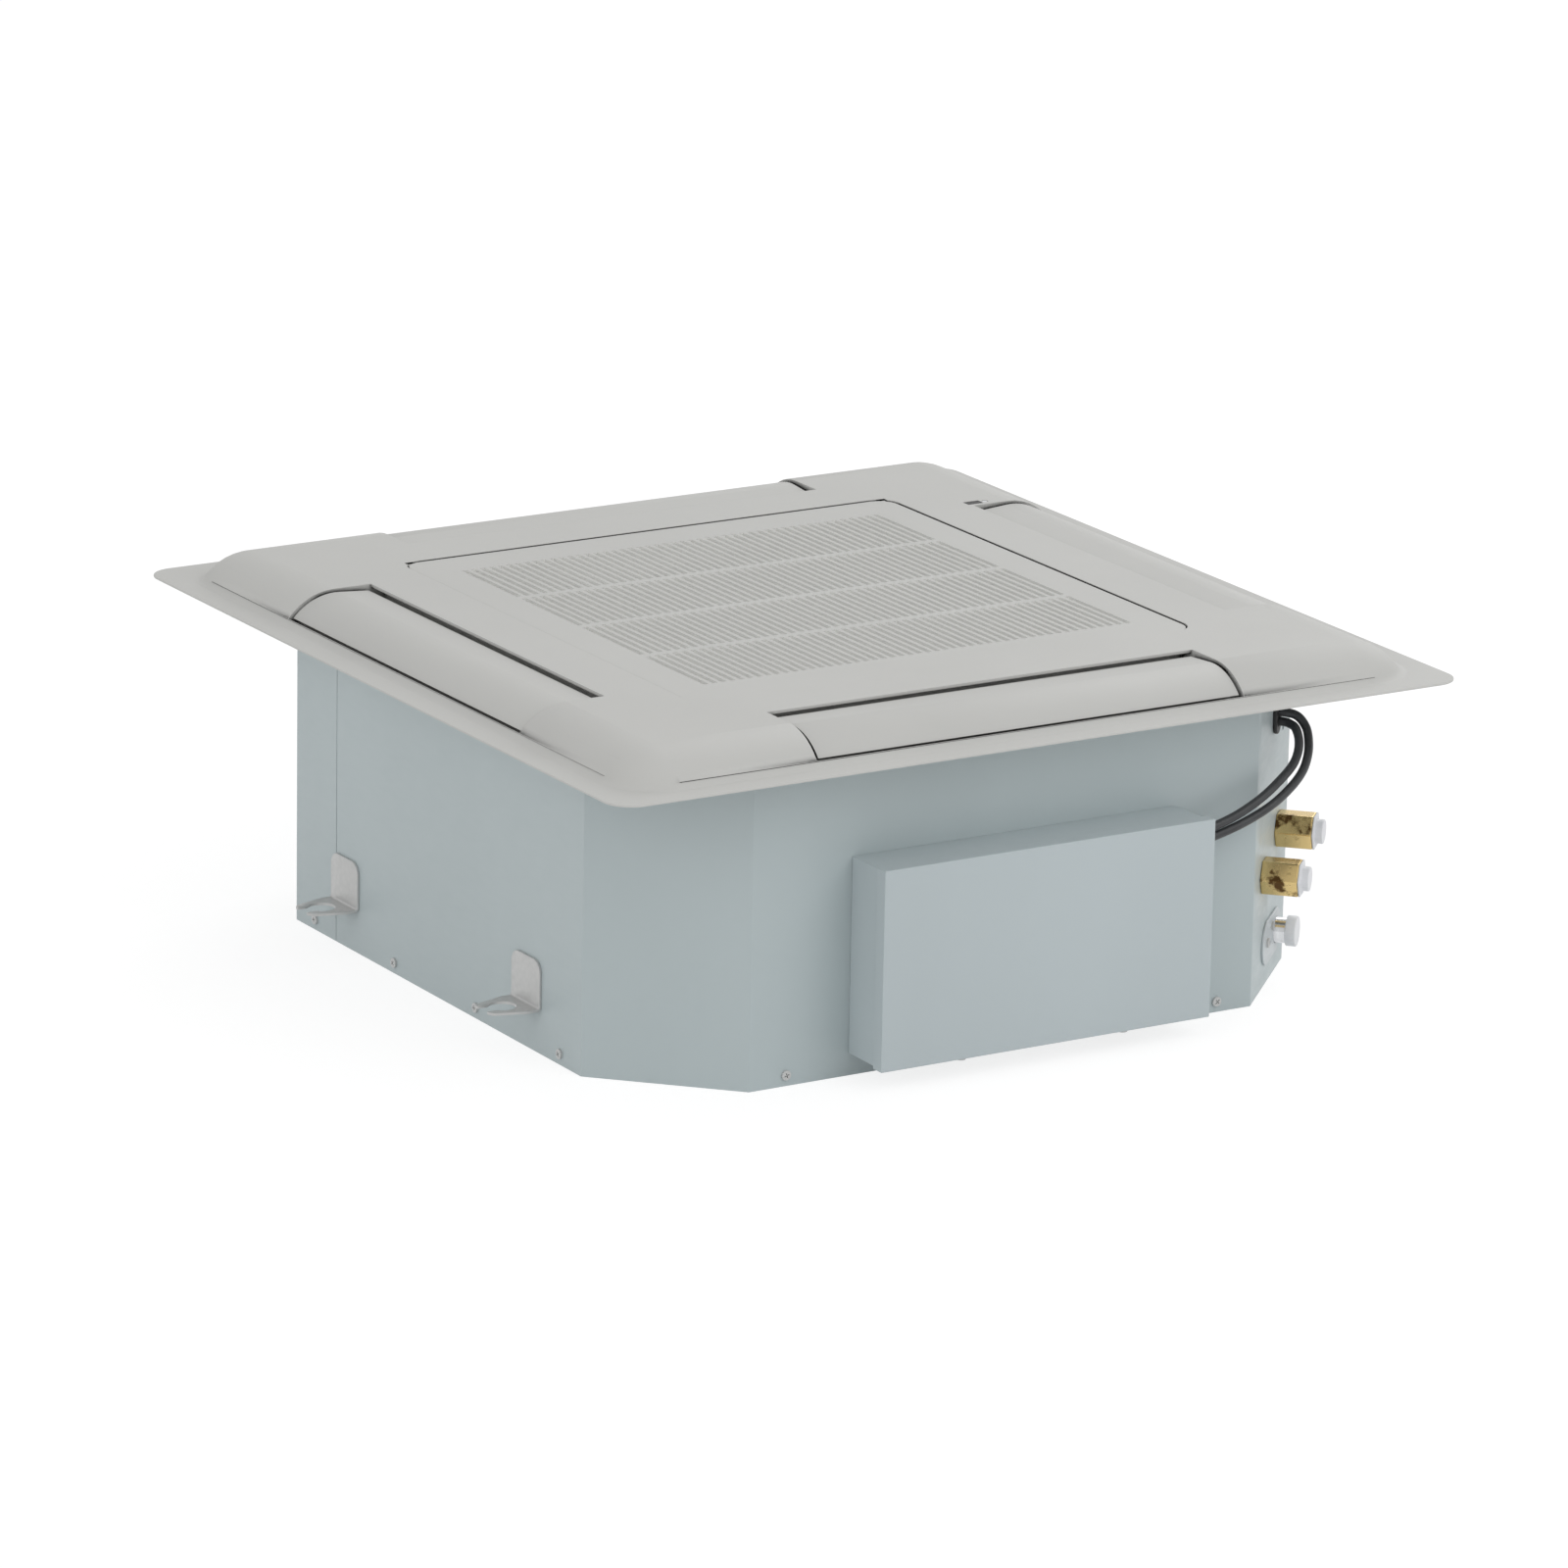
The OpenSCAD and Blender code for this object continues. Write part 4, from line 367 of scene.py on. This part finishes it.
# the finish of each of the record's material slots
finishes = {
    "casing_steel": coatedSheet("casingCoat", tone(188, 199, 201), tone(184, 195, 197)),
    "box_steel": coatedSheet("boxCoat", tone(192, 202, 205), tone(188, 198, 201)),
    "bright_steel": zincPlate("zincPlating"),
    "panel_plastic": panelMoulding("panelMoulding"),
    "filter_plastic": filterWeave("filterMesh"),
    "lead_jacket": softRubber("cableJacket", tone(64, 66, 68), tone(50, 51, 53), rough=0.42),
    "grommet_rubber": softRubber("grommetRubber", tone(48, 48, 49), tone(36, 36, 37),
                                 rough=0.6),
    "brass_fitting": turnedBrass("turnedBrass"),
    "plug_plastic": mouldedPlastic("whiteMoulding", tone(233, 234, 237), tone(226, 227, 231),
                                   rough=0.4, grain=700, depth=0.00002),
    "drain_steel": drawnTube("polishedTube", tone(214, 216, 218), tone(190, 192, 195),
                             rough=0.12),
    "white_foam": beadFoam("beadFoam"),
    "seal_foam": softRubber("sealStrip", tone(66, 67, 69), tone(48, 49, 51),
                            rough=0.85, grain=500, depth=0.0003),
    "dark_plastic": mouldedPlastic("darkMoulding", tone(84, 86, 88), tone(74, 76, 78),
                                   rough=0.5, grain=600, depth=0.00004),
    "fin_aluminium": finStack("finStack"),
    "copper": drawnTube("drawnCopper", tone(205, 128, 88), tone(160, 92, 60), rough=0.28),
    "pump_plastic": mouldedPlastic("pumpMoulding", tone(222, 223, 225), tone(212, 213, 216),
                                   rough=0.45),
    "hose_rubber": softRubber("hoseRubber", tone(104, 106, 108), tone(88, 90, 92), rough=0.55),
    "motor_coating": coatedSheet("motorCoat", tone(128, 132, 136), tone(116, 120, 124),
                                 rough=0.35),
    "mount_rubber": softRubber("mountRubber", tone(52, 52, 53), tone(38, 38, 39), rough=0.7),
    "window_plastic": mouldedPlastic("windowGloss", tone(9, 9, 10), tone(6, 6, 7),
                                     rough=0.2, grain=300, depth=0.000005, sheen=0.12),
    "board_resin": mouldedPlastic("boardResin", tone(52, 112, 84), tone(38, 92, 66),
                                  rough=0.35, grain=500),
    "terminal_plastic": mouldedPlastic("terminalMoulding", tone(232, 230, 221),
                                       tone(222, 220, 210), rough=0.45),
}

# two nodes look a little unlike the rest of their slot: the grille has painted light in its
# slots, and the drain plate has a coat of its own
special = {
    "return_grille": panelMoulding("grilleMoulding", panel["slots"]),
    "drain_plate": coatedSheet("plateCoat", tone(196, 203, 206), tone(190, 197, 200),
                               rough=0.32),
}

for row in frame["record"]["subparts"]:
    node = nodes[row["node"]]
    node.data.materials.clear()
    node.data.materials.append(special.get(row["node"], finishes[row["material_slot"]]))


# edge work: merging distance in millimetres, then the angles in degrees up to which faces count
# as one flat face and from which an edge is rounded
edgeWork = {"weld": 0.01, "flat": 1, "rounded": 32}

# every casing and moulding edge is broken a little, so that it catches the light
softEdges = {"electrical_box": (0.7, 3), "box_cover": (0.7, 3), "front_shell": (0.3, 2),
             "rear_shell": (0.3, 2), "back_plate": (0.3, 2), "panel_frame": (0.35, 2),
             "return_grille": (0.3, 2), "flap_front": (0.4, 2), "flap_right": (0.4, 2),
             "flap_rear": (0.4, 2), "flap_left": (0.4, 2), "supply_end": (0.9, 3),
             "return_end": (0.9, 3), "supply_plug": (0.8, 3), "return_plug": (0.8, 3),
             "drain_cap": (0.8, 3), "drain_plate": (0.4, 2), "drain_spigot": (0.3, 2),
             "push_button": (0.3, 2), "receiver": (0.15, 1), "lead_grommet": (0.8, 2),
             "terminal_block": (0.4, 2), "fan_motor": (1.5, 3), "condensate_pump": (1.2, 3),
             "pump_float": (0.8, 2)}

# the panel's thin wedges beside the hinge keep their shallow edges
steepEdges = {"panel_frame": 50}


def soften(name, width, segments):
    piece = nodes[name]
    join = piece.modifiers.new("join", "WELD")
    join.merge_threshold = edgeWork["weld"] * mm
    flat = piece.modifiers.new("flat", "DECIMATE")
    flat.decimate_type = "DISSOLVE"
    flat.angle_limit = math.radians(edgeWork["flat"])
    edge = piece.modifiers.new("edge", "BEVEL")
    edge.width = width * mm
    edge.segments = segments
    edge.limit_method = "ANGLE"
    edge.angle_limit = math.radians(steepEdges.get(name, edgeWork["rounded"]))
    edge.use_clamp_overlap = False
    edge.harden_normals = False


for name, (width, segments) in softEdges.items():
    soften(name, width, segments)
print("edges softened on", len(softEdges), "nodes")


# new pieces: each becomes an object that rides on a body and stands for one node
def keep(bm, name, body, slot, replaced, smooth):
    mesh = bpy.data.meshes.new(name)
    bm.to_mesh(mesh)
    bm.free()
    piece = bpy.data.objects.new(name, mesh)
    bpy.context.scene.collection.objects.link(piece)
    mesh.materials.append(finishes[slot])
    mesh.shade_smooth()
    mesh.set_sharp_from_angle(angle=math.radians(smooth))
    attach(piece, body)
    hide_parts(replaced)


def newVerts(made):
    return [part for part in made["geom"] if isinstance(part, bmesh.types.BMVert)]


# the screws have a domed pan head with a cross recess; sizes are in millimetres, and the arms
# of the cross are counted in cells of the grid that the head is made from
screw = {"radius": 3.5, "height": 2.0, "crown": 0.5, "recess": 1.1, "arm": 2, "cells": 9,
         "sunk": 0.05, "shank": 1.8, "length": 6, "sides": 24, "weld": 0.001, "smooth": 35}

# where they sit, turned by these degrees: four on each side of the casing, two under the cover
# of the electrical box and two on the drain plate
screwRows = {"steps": (-1.5, -0.5, 0.5, 1.5), "pitch": 117, "side": 287.5, "up": 8,
             "spin": 20, "spinStep": 37}
coverScrews = {"across": (-60.25, 71.25), "out": -327, "up": 14.7, "spin": 30}
plateScrews = {"places": ((-8, 31.5), (8.5, 39.5)), "out": 349.4, "spin": 15}


def screwHead():
    bm = bmesh.new()
    bmesh.ops.create_grid(bm, x_segments=screw["cells"], y_segments=screw["cells"], size=1)
    step = 2 / screw["cells"]

    def inCross(face):
        middle = face.calc_center_median()
        return (min(abs(middle.x), abs(middle.y)) < step / 2
                and middle.length < step * (screw["arm"] + 0.5))

    cross = [face for face in bm.faces if inCross(face)]
    floor = newVerts(bmesh.ops.extrude_face_region(bm, geom=cross))
    bmesh.ops.translate(bm, vec=(0, 0, -screw["recess"] / screw["radius"]), verts=floor)
    bmesh.ops.delete(bm, geom=[face for face in cross if face.is_valid], context="FACES")

    def onBorder(edge):
        at = edge.verts[0].co
        return edge.is_boundary and max(abs(at.x), abs(at.y)) > 1 - step / 2

    rim = [edge for edge in bm.edges if onBorder(edge)]
    foot = set(newVerts(bmesh.ops.extrude_edge_only(bm, edges=rim)))
    for vert in bm.verts:
        at = vert.co
        across = math.hypot(at.x, at.y)
        if across > 0:  # the square grid becomes round
            share = max(abs(at.x), abs(at.y)) / across
            at.x *= share
            at.y *= share
        reach = min(1, math.hypot(at.x, at.y))
        dome = at.z * screw["radius"] + screw["height"] - screw["crown"] * reach ** 2
        at.z = -screw["sunk"] if vert in foot else dome
        at.x *= screw["radius"]
        at.y *= screw["radius"]
    bmesh.ops.create_cone(bm, cap_ends=True, segments=screw["sides"], radius1=screw["shank"],
                          radius2=screw["shank"], depth=screw["length"],
                          matrix=Matrix.Translation((0, 0, -screw["length"] / 2)))
    bmesh.ops.scale(bm, vec=(mm, mm, mm), verts=bm.verts)
    return bm


# a place on the chamfered corner, measured out from the middle, along the chamfer and up
def cornerPoint(out, along, up):
    return Vector(((out + along) / math.sqrt(2), (along - out) / math.sqrt(2), up)) * mm


def facing(at, direction, spin):
    turn = Vector(direction).to_track_quat("Z", "Y").to_matrix().to_4x4()
    return Matrix.Translation(at) @ turn @ Matrix.Rotation(math.radians(spin), 4, "Z")


def screwPlaces():
    places = []
    for quarter in range(4):
        side = Matrix.Rotation(quarter * math.pi / 2, 4, "Z")
        for step in screwRows["steps"]:
            at = Vector((step * screwRows["pitch"], -screwRows["side"], screwRows["up"])) * mm
            spin = screwRows["spin"] + screwRows["spinStep"] * len(places)
            places.append(side @ facing(at, (0, -1, 0), spin))
    for across in coverScrews["across"]:
        at = Vector((across, coverScrews["out"], coverScrews["up"])) * mm
        places.append(facing(at, (0, 0, -1), coverScrews["spin"]))
    for along, up in plateScrews["places"]:
        at = cornerPoint(plateScrews["out"], along, up)
        places.append(facing(at, (1, -1, 0), plateScrews["spin"] + up))
    return places


def casingScrews():
    head = screwHead()
    pattern = bpy.data.meshes.new("screwPattern")
    head.to_mesh(pattern)
    head.free()
    bm = bmesh.new()
    for place in screwPlaces():
        before = len(bm.verts)
        bm.from_mesh(pattern)
        bm.verts.ensure_lookup_table()
        bmesh.ops.transform(bm, matrix=place, verts=bm.verts[before:])
    bpy.data.meshes.remove(pattern)
    bmesh.ops.remove_doubles(bm, verts=bm.verts, dist=screw["weld"] * mm)
    bmesh.ops.recalc_face_normals(bm, faces=bm.faces)
    keep(bm, "crossScrews", "casing", "bright_steel", "casing_screws", screw["smooth"])


casingScrews()
print("screws made")


# hangers: one bent strip each, with a round bend and blunt edges; a bend is its radius in
# millimetres and its segments, and near is how close an edge must lie to count as the bend
hanger = {"back": 287.5, "fork": 30.5, "thick": 2.0, "outerBend": (3.4, 6),
          "innerBend": (1.6, 5), "blunt": (0.35, 2), "sharp": 50, "near": 0.1, "smooth": 35}


# a copy of a node's solid with its flat faces whole again, ready for edge work
def solidCopy(name):
    bm = bmesh.new()
    bm.from_mesh(nodes[name].data)
    bmesh.ops.remove_doubles(bm, verts=bm.verts, dist=edgeWork["weld"] * mm)
    bmesh.ops.dissolve_limit(bm, angle_limit=math.radians(edgeWork["flat"]),
                             verts=bm.verts, edges=bm.edges)
    return bm


def bevelEdges(bm, edges, offset, segments):
    bmesh.ops.bevel(bm, geom=edges, offset=offset * mm, offset_type="OFFSET",
                    segments=segments, profile=0.5, affect="EDGES", material=-1,
                    clamp_overlap=False)


def sharpEdges(bm, angle):
    return [edge for edge in bm.edges
            if len(edge.link_faces) == 2 and edge.calc_face_angle(0) > math.radians(angle)]


# the edges that run along Y at this distance from the middle and this height
def bendEdges(bm, out, up):
    near = hanger["near"] * mm
    return [edge for edge in bm.edges
            if all(abs(abs(vert.co.x) - out * mm) < near and abs(vert.co.z - up * mm) < near
                   for vert in edge.verts)]


def bentHanger(name):
    bm = solidCopy(name)
    back = hanger["back"]
    fork = hanger["fork"]
    thick = hanger["thick"]
    bevelEdges(bm, bendEdges(bm, back, fork), *hanger["outerBend"])
    bevelEdges(bm, bendEdges(bm, back + thick, fork + thick), *hanger["innerBend"])
    bevelEdges(bm, sharpEdges(bm, hanger["sharp"]), *hanger["blunt"])
    keep(bm, name + "_bent", "casing", "bright_steel", name, hanger["smooth"])


for name in ("hanger_left_front", "hanger_left_rear", "hanger_right_front", "hanger_right_rear"):
    bentHanger(name)
print("hangers made")


# the two leads: round jackets on one smooth route each, from the board's connector to the
# tray's notch, in millimetres
leadRoutes = {
    "inner_lead": [(28, -308, 141), (88, -308, 141), (128, -308, 141), (140, -308, 141),
                   (157, -308, 144), (176, -308, 150), (196.5, -305, 158),
                   (215.5, -298.5, 166), (231.5, -290, 172.5), (242, -281, 178.5),
                   (249, -271.5, 184), (252.5, -262.5, 189), (253, -256, 190.5),
                   (250, -250, 191.5), (240, -240, 191.5), (227.4, -227.4, 191.5)],
    "outer_lead": [(28, -308, 134), (88, -308, 134), (128, -308, 134), (140, -308, 134),
                   (158, -308, 137), (180, -309, 143.5), (202.5, -307, 151.5),
                   (223, -300.5, 160), (238.5, -292.5, 168), (249.5, -282.5, 176),
                   (256.5, -272.5, 183.5), (260, -263.5, 190), (257, -257, 196.5),
                   (250, -250, 198.5), (240, -240, 198.5), (227.4, -227.4, 198.5)]}

# the handles of a point reach one part in six, the ease, of the way between its neighbours
lead = {"radius": 3.15, "sides": 6, "steps": 8, "ease": 6, "weld": 0.01, "smooth": 40}


def leadTube(name):
    line = bpy.data.curves.new(name, "CURVE")
    line.dimensions = "3D"
    line.resolution_u = lead["steps"]
    line.bevel_depth = lead["radius"] * mm
    line.bevel_resolution = lead["sides"]
    line.use_fill_caps = True
    run = line.splines.new("BEZIER")
    points = leadRoutes[name]
    run.bezier_points.add(len(points) - 1)
    for k, point in enumerate(points):
        before = Vector(points[max(0, k - 1)])
        after = Vector(points[min(len(points) - 1, k + 1)])
        here = Vector(point)
        lean = (after - before) / lead["ease"]
        end = run.bezier_points[k]
        end.co = here * mm
        end.handle_left = (here - lean) * mm
        end.handle_right = (here + lean) * mm
    drawn = bpy.data.objects.new(name + "_route", line)
    bpy.context.scene.collection.objects.link(drawn)
    bpy.context.view_layer.update()
    shown = drawn.evaluated_get(bpy.context.evaluated_depsgraph_get())
    mesh = bpy.data.meshes.new_from_object(shown)
    bm = bmesh.new()
    bm.from_mesh(mesh)
    bpy.data.objects.remove(drawn)
    bpy.data.meshes.remove(mesh)
    bmesh.ops.remove_doubles(bm, verts=bm.verts, dist=lead["weld"] * mm)
    bmesh.ops.recalc_face_normals(bm, faces=bm.faces)
    keep(bm, name + "_jacket", "casing", "lead_jacket", name, lead["smooth"])


for name in leadRoutes:
    leadTube(name)
print("leads made")


# floor, light and camera, in metres and watts; the floor has its tone for the light on the
# object, and for the camera the darker one of shadow with the glow of paper over it
studio = {"ambient": 0.77, "backdrop": 1.0, "floorRadius": 9, "floorSides": 96, "floor": 0.9,
          "paper": 0.8, "shadow": 0.3, "aim": (0, 0, 0.15)}
lamps = {"keyLamp": {"at": (1.1, -2.9, 2.6), "size": 3.0, "power": 30},
         "sideLamp": {"at": (-3.5, -1.0, 1.6), "size": 2.5, "power": 15},
         "backLamp": {"at": (2.9, 2.0, 2.3), "size": 2.0, "power": 29}}


def grey(level):
    return (level, level, level, 1)


def studioFloor():
    bm = bmesh.new()
    bmesh.ops.create_circle(bm, cap_ends=True, segments=studio["floorSides"],
                            radius=studio["floorRadius"])
    mesh = bpy.data.meshes.new("studioFloor")
    bm.to_mesh(mesh)
    bm.free()
    floor = bpy.data.objects.new("studioFloor", mesh)
    bpy.context.scene.collection.objects.link(floor)
    finish, tree, shader = startFinish("floorPaper")[:3]
    light = tree.nodes.new("ShaderNodeLightPath")
    seen = larger(tree, light.outputs["Is Camera Ray"], light.outputs["Is Glossy Ray"])
    twoTones(tree, shader, seen, grey(studio["floor"]), grey(studio["shadow"]), 0, 1)
    paper = between(tree, seen, 0, studio["paper"], 0, 1)
    tree.links.new(paper, shader.inputs["Emission Strength"])
    shader.inputs["Emission Color"].default_value = grey(1)
    shader.inputs["Roughness"].default_value = 1
    shader.inputs["Specular IOR Level"].default_value = 0
    mesh.materials.append(finish)


def studioWorld():
    world = bpy.data.worlds.new("studioWorld")
    bpy.context.scene.world = world
    world.use_nodes = True
    tree = world.node_tree
    tree.nodes.clear()
    light = tree.nodes.new("ShaderNodeLightPath")
    seen = larger(tree, light.outputs["Is Camera Ray"], light.outputs["Is Glossy Ray"])
    seen = larger(tree, seen, light.outputs["Is Transmission Ray"])
    back = tree.nodes.new("ShaderNodeBackground")
    strength = between(tree, seen, studio["ambient"], studio["backdrop"], 0, 1)
    tree.links.new(strength, back.inputs["Strength"])
    output = tree.nodes.new("ShaderNodeOutputWorld")
    tree.links.new(back.outputs["Background"], output.inputs["Surface"])


def softLamp(name, at, size, power):
    lamp = bpy.data.lights.new(name, "AREA")
    lamp.shape = "DISK"
    lamp.size = size
    lamp.energy = power
    holder = bpy.data.objects.new(name, lamp)
    bpy.context.scene.collection.objects.link(holder)
    holder.location = at
    holder.rotation_mode = "QUATERNION"
    aim = Vector(studio["aim"]) - Vector(at)
    holder.rotation_quaternion = aim.to_track_quat("-Z", "Y")


# the camera stands where the photograph was taken from, far off with a long lens; it turns
# about the object's upright axis at this height, and shift and drop move it across and up
camera = {"lens": 203.118, "sensor": 36, "farthest": 100, "azimuth": -31.4881,
          "elevation": 16.2788, "roll": 1.0869, "distance": 6.25518, "shift": -0.00646,
          "drop": -0.1122, "height": 0.232}


def photoCamera():
    turn, rise, roll = (math.radians(camera[k]) for k in ("azimuth", "elevation", "roll"))
    back = Vector((math.sin(turn) * math.cos(rise), -math.cos(turn) * math.cos(rise),
                   math.sin(rise)))
    right = (-back).cross(Vector((0, 0, 1))).normalized()
    up = right.cross(-back)
    across = right * math.cos(roll) + up * math.sin(roll)
    upright = up * math.cos(roll) - right * math.sin(roll)
    at = back * camera["distance"] + across * camera["shift"] + upright * camera["drop"]
    data = bpy.data.cameras.new("photoCamera")
    data.sensor_width = camera["sensor"]
    data.lens = camera["lens"]
    data.clip_end = camera["farthest"]
    holder = bpy.data.objects.new("photoCamera", data)
    bpy.context.scene.collection.objects.link(holder)
    holder.matrix_world = Matrix(((across.x, upright.x, back.x, at.x),
                                  (across.y, upright.y, back.y, at.y),
                                  (across.z, upright.z, back.z, at.z + camera["height"]),
                                  (0, 0, 0, 1)))
    bpy.context.scene.camera = holder


studioFloor()
studioWorld()
for name, lamp in lamps.items():
    softLamp(name, lamp["at"], lamp["size"], lamp["power"])
photoCamera()
bpy.context.scene.view_settings.view_transform = "Standard"
print("stage, light and camera set")
